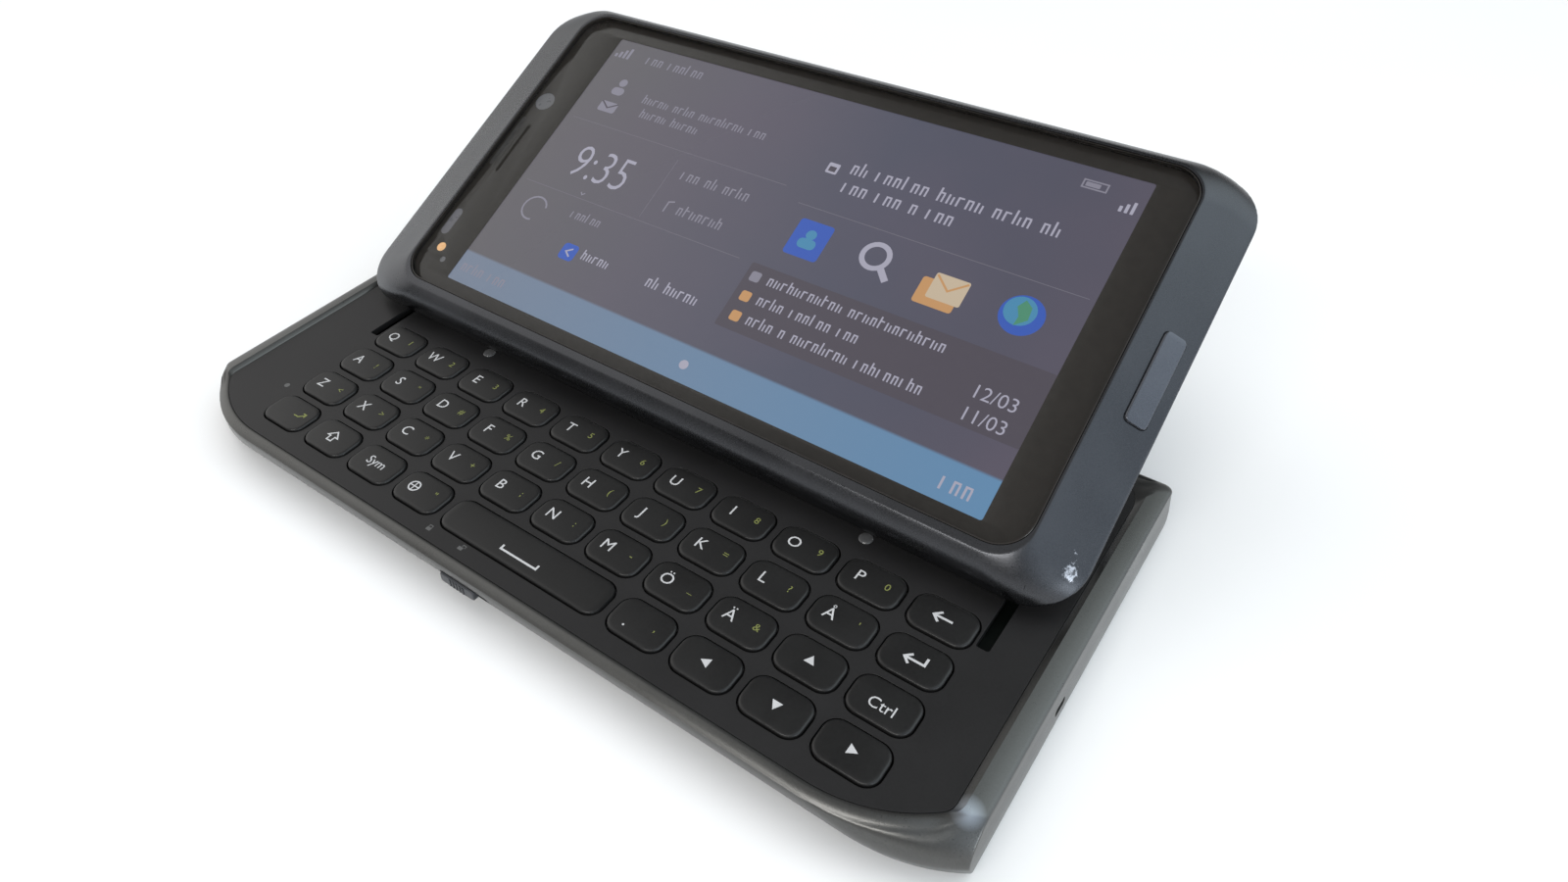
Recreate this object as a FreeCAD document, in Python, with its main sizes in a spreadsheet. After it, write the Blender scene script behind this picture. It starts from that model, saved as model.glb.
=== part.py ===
import FreeCAD, Part
import math
import os
import re
import Sketcher
from FreeCAD import Placement, Rotation, Vector

# Landscape slider phone with a full keyboard, slid open and tilted. Frame: X along the long side,
# Y away from the user, Z up, origin at the middle of the base's underside. The display half is
# drawn lying flat in its own frame, with its origin at the middle of its underside, and is then
# placed slid back and tilted about the hinge in its front edge.

doc = FreeCAD.newDocument("SliderPhone")
sheet = doc.addObject("Spreadsheet::Sheet", "sizes")

sizes = {
    "overcut": 1,
    # whole phone, closed
    "bodyLength": 123.7,
    "bodyWidth": 62.4,
    "baseHeight": 7.3,
    "displayHeight": 6.1,
    "closedGap": 0.2,
    # motion of the display half
    "slideTravel": 31.8,
    "tiltAngle": 27,
    # base shell
    "underEndInset": 1.6,
    "underSideInset": 3.4,
    "underCorner": 5,
    "footHeight": 0.9,
    "waistHeight": 2.2,
    "shoulderHeight": 4.2,
    "rimEndInset": 0.4,
    "rimSideInset": 0.6,
    "rimCorner": 7,
    "rimWidth": 2.85,
    "rimHeight": 0.4,
    "floorThick": 0.9,
    "sideWall": 3.0,
    "endWall": 3.6,
    "cavityCorner": 4,
    # keyboard deck
    "deckThick": 1.0,
    "deckLedge": 1.6,
    "deckCorner": 5,
    "deckGap": 0.1,
    "padRadius": 0.9,
    "padHeight": 0.2,
    "padSpread": 32.3,
    "padSetback": 1.8,
    # keys
    "keyColumns": 11,
    "keyRows": 4,
    "keyPitchX": 9.1,
    "keyPitchY": 6.65,
    "keySpaceX": 1.3,
    "keySpaceY": 1.35,
    "keyCorner": 1.8,
    "keyEdge": 0.3,
    "keyHeight": 1.05,
    "keyTravel": 0.3,
    "keyGap": 0.2,
    "keyCentreX": 2.0,
    "rowSetback": 7.5,
    # rubber mat under the keys
    "matThick": 0.5,
    "matMargin": 1.2,
    "matGap": 0.05,
    "nubRadius": 1.1,
    # slide plate and its hinge rails
    "plateThick": 0.6,
    "plateGap": 0.15,
    "plateDepth": 14,
    "plateMargin": 1.5,
    "plateStop": 0.2,
    "keyRailGap": 0.4,
    "panelRailGap": 0.3,
    "railThick": 1.8,
    "railHeight": 1.5,
    "railFloat": 0.2,
    "postDepth": 1.2,
    "postThick": 1.0,
    "slotGap": 0.3,
    # hinges and swing arms
    "pivotInset": 2.6,
    "earRadius": 1.5,
    "earReach": 4,
    "pinRadius": 0.6,
    "pinGap": 0.1,
    "pinReach": 0.9,
    "elbowInset": 7.2,
    "armThick": 0.8,
    "armRoot": 1.3,
    "armHalf": 1.0,
    "guideRadius": 0.55,
    "guideReach": 0.6,
    "guideGap": 0.15,
    "channelGap": 0.3,
    "channelRise": 1.9,
    # display half
    "displayEndInset": 2.65,
    "underRound": 1.0,
    "slopeFoot": 2.1,
    "slopeWest": 9.2,
    "slopeEast": 6.8,
    "noseRun": 4.0,
    "tailRun": 3.2,
    "noseCorner": 7,
    "faceCorner": 4.8,
    "glassCorner": 4.5,
    "glassThick": 0.88,
    "glassGap": 0.05,
    "bezelLip": 0.3,
    "panelCentreX": 2.4,
    "panelLength": 90.6,
    "panelWidth": 52.0,
    "panelThick": 1.6,
    "panelCorner": 1.0,
    "panelGap": 0.15,
    "backThick": 0.95,
    "backEndInset": 6.85,
    "backFrontInset": 6.3,
    "backCorner": 4,
    "backGap": 0.1,
    "hollowHeight": 2.1,
    "hollowMargin": 9,
    # menu key on the right slope
    "menuLength": 12.8,
    "menuWidth": 3.0,
    "menuThick": 1.0,
    "menuProud": 0.4,
    "menuInset": 2.6,
    "menuY": -0.2,
    "menuCorner": 0.7,
    "menuStem": 0.15,
    "menuTravel": 0.35,
    # controls on the base's sides
    "controlGap": 0.15,
    "controlInset": 0.55,
    "controlProud": 0.5,
    "controlDepth": 2.2,
    "controlHeight": 1.6,
    "controlLow": 3.0,
    "lockX": -6.5,
    "lockLength": 5.9,
    "lockTravel": 1.9,
    "volumeX": 10,
    "volumeLength": 12,
    "volumeTravel": 1.2,
    "cameraKeyX": 40,
    "cameraKeyLength": 9,
    "pressTravel": 0.4,
    "powerY": -12,
    "powerLength": 7,
    "powerProud": 0.15,
    "trayX": 22,
    "trayWidth": 17,
    "trayDepth": 25,
    "trayThick": 1.2,
    "trayLow": 2.2,
    "trayInset": 1.45,
    # inside the base
    "boardLow": 1.1,
    "boardThick": 0.7,
    "boardGap": 0.3,
    "shieldTop": 4.2,
    "batteryX": -26,
    "batteryLength": 41,
    "batteryWidth": 52,
    "batteryThick": 3.2,
    "partGap": 0.1,
    "jackRadius": 1.85,
    "jackWall": 0.45,
    "jackDepth": 14,
    "jackRecess": 0.3,
    "jackY": -22,
    "socketHeight": 3.5,
    "usbY": 19,
    "usbWidth": 7.4,
    "usbHeight": 2.2,
    "usbDepth": 5,
    "usbLength": 6,
    "lensRadius": 3.3,
    "lensX": -50,
    "lensY": 6,
    "lensRecess": 0.12,
    "lensHeight": 4.1,
}
for row, (alias, value) in enumerate(sizes.items(), start=1):
    sheet.set("A%d" % row, alias)
    sheet.set("B%d" % row, str(value))
    sheet.setAlias("B%d" % row, alias)
doc.recompute()

# places and sizes that several pieces share, worked out from the cells above
derived = {
    "halfLength": "bodyLength / 2",
    "halfWidth": "bodyWidth / 2",
    "deckTop": "baseHeight - rimHeight",
    "deckBottom": "deckTop - deckThick",
    "deckHalfX": "halfLength - rimEndInset - rimWidth - deckGap",
    "deckHalfY": "halfWidth - deckLedge - deckGap",
    "cavityHalfX": "halfLength - endWall",
    "cavityHalfY": "halfWidth - sideWall",
    "matTop": "deckBottom - matGap",
    "plateTop": "matTop - matThick - plateGap",
    "keyBottom": "baseHeight - keyHeight",
    "keyWidth": "keyPitchX - keySpaceX",
    "keyDepth": "keyPitchY - keySpaceY",
    "keysHalfX": "((keyColumns - 1) * keyPitchX + keyWidth) / 2",
    "keysHalfY": "((keyRows - 1) * keyPitchY + keyDepth) / 2",
    "firstRowY": "pivotOpenY - rowSetback",
    "keysMiddleY": "firstRowY - (keyRows - 1) / 2 * keyPitchY",
    # the display's hinge axis, with the display closed and open
    "pivotClosedY": "pivotInset - halfWidth",
    "pivotOpenY": "pivotClosedY + slideTravel",
    "pivotZ": "baseHeight + closedGap + pivotInset",
    # the rails stand just outside the keyboard and the panel, and end where the slide plate
    # meets the rear wall
    "keyRailOffset": "keysHalfX + keyRailGap + railThick / 2",
    "panelRailOffset": "panelLength / 2 + panelCentreX - keyCentreX + channelHalf + panelRailGap",
    "railOffset": "max(keyRailOffset; panelRailOffset)",
    "railLength": "cavityHalfY - plateStop - postDepth / 2 - pivotOpenY",
    "railBottom": "deckTop + railFloat",
    "railTop": "railBottom + railHeight",
    "armLength": "railLength - elbowInset",
    "elbowY": "pivotOpenY + armLength",
    "channelHalf": "railThick / 2 + channelGap",
    "displayEnd": "halfLength - displayEndInset",
    "glassWest": "displayEnd - slopeWest",
    "glassEast": "displayEnd - slopeEast",
    "glassFront": "halfWidth - noseRun",
    "glassBack": "halfWidth - tailRun",
    "glassLow": "displayHeight - glassThick",
    "panelTop": "glassLow - 2 * glassGap",
    "panelBottom": "panelTop - panelThick",
    "backEnd": "halfLength - backEndInset",
    "backHalf": "halfWidth - backFrontInset",
    "slopeRise": "displayHeight - slopeFoot",
    "slopeRun": "slopeEast - bezelLip",
    "menuX": "displayEnd - menuInset",
    "menuZ": "slopeFoot + menuInset * slopeRise / slopeRun",
    "controlTop": "controlLow + controlHeight",
    "boardTop": "boardLow + boardThick",
    "socketEnd": "-halfLength + jackRecess",
}
derivedPattern = re.compile(r"\b(" + "|".join(derived) + r")\b")
aliasPattern = re.compile(r"\b(" + "|".join(sizes) + r")\b")


def formula(text):
    """Spell out the derived names in a formula, then point its cell names at the sheet."""
    text = str(text)
    while derivedPattern.search(text):
        text = derivedPattern.sub(lambda found: "(%s)" % derived[found.group(1)], text)
    return aliasPattern.sub(r"sizes.\1", text)


def bind(thing, path, text):
    thing.setExpression(path, formula(text))


def move(thing, x="0", y="0", z="0"):
    bind(thing, "Placement.Base.x", x)
    bind(thing, "Placement.Base.y", y)
    bind(thing, "Placement.Base.z", z)
    return thing


# ---- shape helpers --------------------------------------------------------------------------

def box(name, x, y, z):
    """A block from its low and high formulas along X, Y and Z."""
    block = doc.addObject("Part::Box", name)
    bind(block, "Length", "(%s) - (%s)" % (x[1], x[0]))
    bind(block, "Width", "(%s) - (%s)" % (y[1], y[0]))
    bind(block, "Height", "(%s) - (%s)" % (z[1], z[0]))
    return move(block, x[0], y[0], z[0])


def rod(name, radius, x, y, z):
    """A round bar along X, from x[0] to x[1], centred on y and z."""
    bar = doc.addObject("Part::Cylinder", name)
    bind(bar, "Radius", radius)
    bind(bar, "Height", "(%s) - (%s)" % (x[1], x[0]))
    bar.Placement = Placement(Vector(), Rotation(Vector(0, 1, 0), 90))
    return move(bar, x[0], y, z)


def disc(name, radius, x, y, z):
    """A round post along Z, from z[0] to z[1], centred on x and y."""
    post = doc.addObject("Part::Cylinder", name)
    bind(post, "Radius", radius)
    bind(post, "Height", "(%s) - (%s)" % (z[1], z[0]))
    return move(post, x, y, z[0])


def fuse(name, shapes):
    joined = doc.addObject("Part::MultiFuse", name)
    joined.Shapes = shapes
    joined.Refine = True
    return joined


def cut(name, base, tools):
    """Cut the tools out of a base one after another; the last cut carries the name."""
    for step, tool in enumerate(tools, start=1):
        last = step == len(tools)
        carved = doc.addObject("Part::Cut", name if last else "%s_cut%d" % (name, step))
        carved.Base = base
        carved.Tool = tool
        base = carved
    return base


def group(name, members):
    """Several solids that stand apart, kept together."""
    together = doc.addObject("Part::Compound", name)
    together.Links = members
    return together


def planeOf(body, role):
    return next(f for f in body.Origin.OriginFeatures if f.Role == role)


def roundedSketch(body, name, outline, height):
    """A rounded rectangle on the body's XY plane, lifted to a height.

    outline holds formulas for its west, east, south and north distances from the origin and for
    its corner radius.
    """
    sketch = body.newObject("Sketcher::SketchObject", name)
    sketch.AttachmentSupport = [(planeOf(body, "XY_Plane"), "")]
    sketch.MapMode = "FlatFace"
    bind(sketch, "AttachmentOffset.Base.z", height)
    # first drawn as a square of half side far, with corner arcs of radius far - near
    far, near = 20.0, 10.0
    sides = [((-near, -far), (near, -far)), ((far, -near), (far, near)),
             ((near, far), (-near, far)), ((-far, near), (-far, -near))]
    corners = [(near, -near, 270), (near, near, 0), (-near, near, 90), (-near, -near, 180)]
    for (x0, y0), (x1, y1) in sides:
        sketch.addGeometry(Part.LineSegment(Vector(x0, y0, 0), Vector(x1, y1, 0)), False)
    for x, y, start in corners:
        circle = Part.Circle(Vector(x, y, 0), Vector(0, 0, 1), far - near)
        arc = Part.ArcOfCircle(circle, math.radians(start), math.radians(start + 90))
        sketch.addGeometry(arc, False)
    constraints = []
    for side in range(4):
        constraints.append(Sketcher.Constraint("Tangent", side, 2, 4 + side, 1))
        constraints.append(Sketcher.Constraint("Tangent", 4 + side, 2, (side + 1) % 4, 1))
    for side in (0, 2):
        constraints.append(Sketcher.Constraint("Horizontal", side))
        constraints.append(Sketcher.Constraint("Vertical", side + 1))
    for corner in (5, 6, 7):
        constraints.append(Sketcher.Constraint("Equal", 4, corner))
    sketch.addConstraint(constraints)
    west, east, south, north, radius = outline
    driving = [
        ("corner", Sketcher.Constraint("Radius", 4, far - near), radius),
        ("south", Sketcher.Constraint("DistanceY", 0, 1, -1, 1, far), south),
        ("east", Sketcher.Constraint("DistanceX", -1, 1, 1, 1, far), east),
        ("north", Sketcher.Constraint("DistanceY", -1, 1, 2, 1, far), north),
        ("west", Sketcher.Constraint("DistanceX", 3, 1, -1, 1, far), west),
    ]
    for label, constraint, text in driving:
        index = sketch.addConstraint(constraint)
        sketch.renameConstraint(index, label)
        bind(sketch, "Constraints." + label, text)
    return sketch


def slab(name, outline, bottom, top):
    """A rounded plate between two heights, as a body of one sketch and one pad."""
    body = doc.addObject("PartDesign::Body", name)
    sketch = roundedSketch(body, name + "Outline", outline, bottom)
    pad = body.newObject("PartDesign::Pad", name + "Pad")
    pad.Profile = sketch
    bind(pad, "Length", "(%s) - (%s)" % (top, bottom))
    body.Tip = pad
    return body


def hull(name, sections):
    """A smooth body lofted through rounded rectangles, one for each (height, outline)."""
    body = doc.addObject("PartDesign::Body", name)
    sketches = [roundedSketch(body, "%sSection%d" % (name, i), outline, height)
                for i, (height, outline) in enumerate(sections)]
    loft = body.newObject("PartDesign::AdditiveLoft", name + "Loft")
    loft.Profile = sketches[0]
    loft.Sections = sketches[1:]
    loft.Ruled = False
    body.Tip = loft
    return body


def symmetric(halfX, halfY, radius):
    return (halfX, halfX, halfY, halfY, radius)


# the left and right hinge rails stand the same distance from the keyboard's middle
railSides = {"left": -1, "right": 1}


def railX(side, outward):
    """X at a distance outward from a rail's mid plane, away from the keyboard's middle."""
    return "keyCentreX + %d * (railOffset + (%s))" % (railSides[side], outward)


def railSpan(side, inner, outer):
    """A low and high X from two outward distances of one rail."""
    ends = (railX(side, inner), railX(side, outer))
    return ends if railSides[side] > 0 else ends[::-1]


# ---- base shell -----------------------------------------------------------------------------

# height, how far the outline stands in from the phone's ends and sides there, corner radius
baseProfile = [
    ("0", "underEndInset", "underSideInset", "underCorner"),
    ("footHeight", "underEndInset / 4", "underSideInset * 0.66", "underCorner * 1.1"),
    ("waistHeight", "0", "underSideInset * 0.43", "underCorner * 1.25"),
    ("shoulderHeight", "rimEndInset / 3", "underSideInset * 0.16", "rimCorner * 0.95"),
    ("deckBottom", "rimEndInset * 0.7", "0", "rimCorner"),
    ("baseHeight", "rimEndInset", "rimSideInset", "rimCorner"),
]
baseOuter = hull("base_outer", [
    (height, symmetric("halfLength - " + endInset, "halfWidth - " + sideInset, corner))
    for height, endInset, sideInset, corner in baseProfile])
lowerCavity = slab("lower_cavity", symmetric("cavityHalfX", "cavityHalfY", "cavityCorner"),
                   "floorThick", "baseHeight + overcut")
deckSeat = slab("deck_seat", symmetric("deckHalfX + deckGap", "deckHalfY + deckGap",
                                       "deckCorner + deckGap"), "deckBottom", "baseHeight + overcut")
# the raised rim is left only at the two ends
rimCut = box("rim_cut", ("-deckHalfX - deckGap", "deckHalfX + deckGap"),
             ("-bodyWidth", "bodyWidth"), ("deckTop", "baseHeight + overcut"))
controlSpan = ("controlLow", "controlTop")
seatSpan = ("controlLow - controlGap", "controlTop + controlGap")
frontSeat = ("-bodyWidth", "-halfWidth + controlDepth")
rearSeat = ("halfWidth - controlDepth", "bodyWidth")
controlSeats = [
    box("lock_seat", ("lockX - controlGap", "lockX + lockLength + lockTravel + controlGap"),
        frontSeat, seatSpan),
    box("volume_seat", ("volumeX - volumeTravel - controlGap",
                        "volumeX + volumeLength + volumeTravel + controlGap"), rearSeat, seatSpan),
    box("camera_key_seat", ("cameraKeyX - controlGap", "cameraKeyX + cameraKeyLength + controlGap"),
        rearSeat, seatSpan),
    box("power_seat", ("-bodyLength", "-halfLength + controlDepth"),
        ("powerY - controlGap", "powerY + powerLength + controlGap"), seatSpan),
    box("tray_seat", ("trayX - controlGap", "trayX + trayWidth + controlGap"), ("-bodyWidth", "0"),
        ("trayLow - controlGap", "trayLow + trayThick + controlGap")),
]
socketSeats = [
    rod("jack_seat", "jackRadius + jackWall + partGap", ("-bodyLength", "-cavityHalfX + overcut"),
        "jackY", "socketHeight"),
    box("usb_seat", ("-bodyLength", "-cavityHalfX + overcut"), ("usbY - usbWidth / 2", "usbY + usbWidth / 2"),
        ("socketHeight - usbHeight / 2", "socketHeight + usbHeight / 2")),
    disc("lens_seat", "lensRadius + partGap", "lensX", "lensY", ("-overcut", "floorThick + overcut")),
]
baseShell = cut("base_shell", baseOuter, [lowerCavity, deckSeat, rimCut] + controlSeats + socketSeats)

# ---- keyboard -------------------------------------------------------------------------------

# the rows from the display to the user; None widens the key before it by one column
keyboardRows = [
    ["key_q", "key_w", "key_e", "key_r", "key_t", "key_y", "key_u", "key_i", "key_o", "key_p",
     "key_backspace"],
    ["key_a", "key_s", "key_d", "key_f", "key_g", "key_h", "key_j", "key_k", "key_l",
     "key_a_ring", "key_enter"],
    ["key_z", "key_x", "key_c", "key_v", "key_b", "key_n", "key_m", "key_o_umlaut",
     "key_a_umlaut", "key_up", "key_control"],
    ["key_function", "key_shift", "key_symbols", "key_character", "key_space", None, None,
     "key_period", "key_left", "key_down", "key_right"],
]


def keyLayout():
    """Each key's name, its row, its first column and the number of columns it takes."""
    for row, names in enumerate(keyboardRows):
        for column, name in enumerate(names):
            if name is not None:
                span = 1
                while column + span < len(names) and names[column + span] is None:
                    span += 1
                yield name, row, column, span


def keyCentre(row, column, span=1):
    x = "keyCentreX + (%s - (keyColumns - 1) / 2) * keyPitchX" % (column + (span - 1) / 2)
    y = "firstRowY - %d * keyPitchY" % row
    return x, y


def keyOutline(span, grow):
    halfX = "(keyWidth + %d * keyPitchX) / 2 + %s" % (span - 1, grow)
    return symmetric(halfX, "keyDepth / 2 + " + grow, "keyCorner + " + grow)


keyCaps = []
keyHoles = []
for keyName, keyRow, keyColumn, keySpan in keyLayout():
    centreX, centreY = keyCentre(keyRow, keyColumn, keySpan)
    cap = slab(keyName, keyOutline(keySpan, "0"), "0", "keyHeight")
    keyCaps.append(move(cap, centreX, centreY, "keyBottom"))
    hole = slab(keyName + "_hole", keyOutline(keySpan, "keyGap"), "0", "deckThick + 2 * overcut")
    keyHoles.append(move(hole, centreX, centreY, "deckBottom - overcut"))
doc.recompute()
for cap in keyCaps:
    # the fingertip face has a softened edge
    pad = cap.Tip
    faces = pad.Shape.Faces
    topFace = max(range(len(faces)), key=lambda i: faces[i].CenterOfMass.z)
    softened = cap.newObject("PartDesign::Fillet", cap.Name + "Edge")
    softened.Base = (pad, ["Face%d" % (topFace + 1)])
    bind(softened, "Radius", "keyEdge")
    cap.Tip = softened

deckPlate = slab("deck_plate", symmetric("deckHalfX", "deckHalfY", "deckCorner"), "deckBottom", "deckTop")
postSlots = [
    box("post_slot_" + side, railSpan(side, "-postThick / 2 - slotGap", "postThick / 2 + slotGap"),
        ("pivotClosedY + railLength - postDepth / 2 - slotGap",
         "pivotOpenY + railLength + postDepth / 2 + slotGap"),
        ("deckBottom - overcut", "deckTop + overcut"))
    for side in railSides]
deckHoled = cut("deck_holed", deckPlate, [group("key_holes", keyHoles)] + postSlots)
bumperPads = [
    disc("bumper_pad_" + side, "padRadius", "keyCentreX + %d * padSpread" % sign,
         "pivotOpenY - padSetback", ("deckTop - padHeight", "deckTop + padHeight"))
    for side, sign in railSides.items()]
keyboardDeck = fuse("keyboard_deck", [deckHoled] + bumperPads)

matPlate = slab("mat_plate", symmetric("keysHalfX - matMargin", "keysHalfY - matMargin / 2", "keyCorner"),
                "0", "matThick")
move(matPlate, "keyCentreX", "keysMiddleY", "matTop - matThick")
matNubs = []
for nubRow in range(sizes["keyRows"]):
    for nubColumn in range(sizes["keyColumns"]):
        nubX, nubY = keyCentre(nubRow, nubColumn)
        matNubs.append(disc("nub_%d_%d" % (nubRow, nubColumn), "nubRadius", nubX, nubY,
                            ("matTop - matThick / 2", "keyBottom - keyTravel - matGap")))
keyMat = fuse("key_mat", [matPlate] + matNubs)

# ---- slide plate, hinge rails, arms and pins --------------------------------------------------

railInner, railOuter = "-railThick / 2", "railThick / 2"
pastRail = ("-railThick / 2 - overcut", "railThick / 2 + overcut")
rearEdge = "pivotOpenY + railLength + postDepth / 2"
plateParts = [box("plate_sheet", (railX("left", "plateMargin"), railX("right", "plateMargin")),
                  (rearEdge + " - plateDepth", rearEdge), ("plateTop - plateThick", "plateTop"))]
railHoles = []
pins = []
arms = []
for side in railSides:
    wholeRail = railSpan(side, railInner, railOuter)
    # the elbow's ear takes the inner part of the rail's thickness and the arm the outer part
    earSpan = railSpan(side, railInner, "armThick - railThick / 2")
    armSpan = railSpan(side, "railThick / 2 - armThick", railOuter)
    plateParts += [
        box("post_" + side, railSpan(side, "-postThick / 2", "postThick / 2"),
            (rearEdge + " - postDepth", rearEdge), ("plateTop - plateThick / 2", "railTop")),
        box("rail_" + side, wholeRail, ("pivotOpenY + earRadius * 2 / 3", rearEdge), ("railBottom", "railTop")),
        rod("front_ear_" + side, "earRadius", wholeRail, "pivotOpenY", "pivotZ"),
        box("front_web_" + side, wholeRail, ("pivotOpenY + earRadius / 3", "pivotOpenY + earReach"),
            ("railTop - railHeight / 3", "pivotZ")),
        rod("elbow_ear_" + side, "earRadius", earSpan, "elbowY", "pivotZ"),
        box("elbow_web_" + side, earSpan, ("elbowY - earRadius", "elbowY + earRadius"),
            ("railTop - railHeight / 3", "pivotZ")),
    ]
    for joint, jointY in (("front", "pivotOpenY"), ("elbow", "elbowY")):
        railHoles.append(rod("%s_hole_%s" % (joint, side), "pinRadius + pinGap / 4",
                             railSpan(side, *pastRail), jointY, "pivotZ"))
    pins += [
        rod("front_pin_" + side, "pinRadius", railSpan(side, "-railThick / 2 - pinReach",
                                                       "railThick / 2 + pinReach"), "pivotOpenY", "pivotZ"),
        rod("elbow_pin_" + side, "pinRadius", railSpan(side, "-railThick / 2 - pinGap",
                                                       "railThick / 2 + pinGap"), "elbowY", "pivotZ"),
    ]
    # the arm is drawn lying flat, along +Y from its own hinge, with a guide pin at its tip
    armBlank = fuse("arm_blank_" + side, [
        rod("arm_root_" + side, "armRoot", armSpan, "0", "0"),
        rod("arm_tip_" + side, "armHalf", armSpan, "armLength", "0"),
        box("arm_link_" + side, armSpan, ("0", "armLength"), ("-armHalf", "armHalf")),
        rod("guide_pin_" + side, "guideRadius",
            railSpan(side, "railThick / 2 - armThick", "railThick / 2 + guideReach"), "armLength", "0"),
    ])
    armBore = rod("arm_bore_" + side, "pinRadius + pinGap", railSpan(side, *pastRail), "0", "0")
    arms.append(cut("arm_" + side, armBlank, [armBore]))
slidePlate = cut("slide_plate", fuse("plate_blank", plateParts), railHoles)
hingePins = group("hinge_pins", pins)
swingArms = group("swing_arms", arms)
# hinge, elbow and arm tip make an isosceles triangle, so the arms turn by twice the tilt
swingArms.Placement = Placement(Vector(), Rotation(Vector(1, 0, 0), 2 * sizes["tiltAngle"]))
move(swingArms, "0", "elbowY", "pivotZ")

# ---- display half, flat, in its own frame -----------------------------------------------------


def slopeSection(share, sideInset, corner):
    """A section part way up the end slopes: share 0 at their foot, 1 beside the glass."""
    half = "halfWidth - (%s)" % sideInset
    outline = ("displayEnd - %s * (slopeWest - bezelLip)" % share, "displayEnd - %s * slopeRun" % share,
               half, half, corner)
    return ("slopeFoot + %s * slopeRise" % share, outline)


displayOuter = hull("display_outer", [
    ("0", symmetric("displayEnd - underRound", "halfWidth - pivotInset", "noseCorner - underRound")),
    ("pivotInset * 0.29", symmetric("displayEnd - underRound / 5", "halfWidth - pivotInset * 0.29", "noseCorner")),
    slopeSection(0, "0", "noseCorner"),
    slopeSection(0.375, "(tailRun - bezelLip) * 0.06", "noseCorner - 0.375 * (noseCorner - faceCorner)"),
    slopeSection(0.775, "(tailRun - bezelLip) * 0.45", "noseCorner - 0.775 * (noseCorner - faceCorner)"),
    slopeSection(1, "tailRun - bezelLip", "faceCorner"),
])
glassSeat = slab("glass_seat", ("glassWest + glassGap", "glassEast + glassGap", "glassFront + glassGap",
                                "glassBack + glassGap", "glassCorner + glassGap"),
                 "glassLow - glassGap", "displayHeight + overcut")


def panelOutline(grow):
    half = "panelWidth / 2 + " + grow
    return ("panelLength / 2 - panelCentreX + " + grow, "panelLength / 2 + panelCentreX + " + grow,
            half, half, "panelCorner + " + grow)


panelSeat = slab("panel_seat", panelOutline("panelGap"), "panelBottom - glassGap", "displayHeight")
backSeat = slab("back_seat", symmetric("backEnd + backGap", "backHalf + backGap", "backCorner + backGap"),
                "-overcut", "backThick + glassGap")
frameHollow = box("frame_hollow", ("-backEnd + hollowMargin", "backEnd - hollowMargin"),
                  ("-backHalf + hollowMargin / 4", "backHalf - hollowMargin / 4"),
                  ("backThick", "backThick + hollowHeight"))
channelY = ("pivotClosedY + earRadius", "pivotClosedY + 2 * armLength + 2 * armHalf")
earRoomY = ("pivotClosedY - earRadius / 2", "pivotClosedY + earRadius + overcut")
channels = []
pinSeats = []
for side in railSides:
    channelSpan = railSpan(side, "-channelHalf", "channelHalf")
    channels += [
        box("channel_" + side, channelSpan, channelY, ("-overcut", "pivotInset + channelRise")),
        # the channel ends round about the front hinge, with room below it for the ear's web
        box("ear_room_" + side, channelSpan, earRoomY, ("-overcut", "pivotInset")),
        rod("ear_seat_" + side, "earRadius + 2 * pinGap", channelSpan, "pivotClosedY", "pivotInset"),
    ]
    pinSeats += [
        rod("pin_seat_" + side, "pinRadius + pinGap", railSpan(side, *pastRail), "pivotClosedY", "pivotInset"),
        # the guide pin runs along this track as the display tilts
        box("guide_track_" + side, railSpan(side, "0", "railThick / 2 + guideReach + guideGap"),
            ("pivotClosedY + 2 * armLength * cos(tiltAngle * 1deg) - guideRadius - 2 * guideGap",
             "pivotClosedY + 2 * armLength + guideRadius + 2 * guideGap"),
            ("pivotInset - guideRadius - guideGap", "pivotInset + guideRadius + guideGap")),
    ]


def menuPiece(name, grow, bottom, top):
    """A rounded bar lying on the right slope, with heights measured square to the slope."""
    bar = slab(name, symmetric("menuWidth / 2 + " + grow, "menuLength / 2 + " + grow,
                               "menuCorner + " + grow), bottom, top)
    bar.Placement = Placement(Vector(), Rotation(Vector(0, 1, 0), sizes["tiltAngle"]))
    bind(bar, "Placement.Rotation.Angle", "atan(slopeRise / slopeRun)")
    return move(bar, "menuX", "menuY", "menuZ")


menuSeat = menuPiece("menu_seat", "controlGap / 2",
                     "menuProud - menuThick - menuStem - menuTravel - backGap", "menuProud + overcut")
displayFrame = cut("display_frame", displayOuter,
                   [glassSeat, panelSeat, backSeat, frameHollow, menuSeat] + channels + pinSeats)
backBlank = slab("back_blank", symmetric("backEnd", "backHalf", "backCorner"), "0", "backThick")
backChannels = [
    box("back_channel_" + side, railSpan(side, "-channelHalf", "channelHalf"),
        ("-halfWidth", channelY[1]), ("-overcut", "backThick + overcut"))
    for side in railSides]
displayBack = cut("display_back", backBlank, backChannels)
frontGlass = slab("front_glass", ("glassWest", "glassEast", "glassFront", "glassBack", "glassCorner"),
                  "glassLow", "displayHeight")
displayPanel = slab("display_panel", panelOutline("0"), "panelBottom", "panelTop")
# the bar and the short stem that it presses with
menuKey = fuse("menu_key", [
    menuPiece("menu_bar", "0", "menuProud - menuThick", "menuProud"),
    menuPiece("menu_stem", "-menuCorner / 2", "menuProud - menuThick - menuStem", "menuProud - menuThick / 2")])

# ---- controls on the base's sides -------------------------------------------------------------

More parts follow.
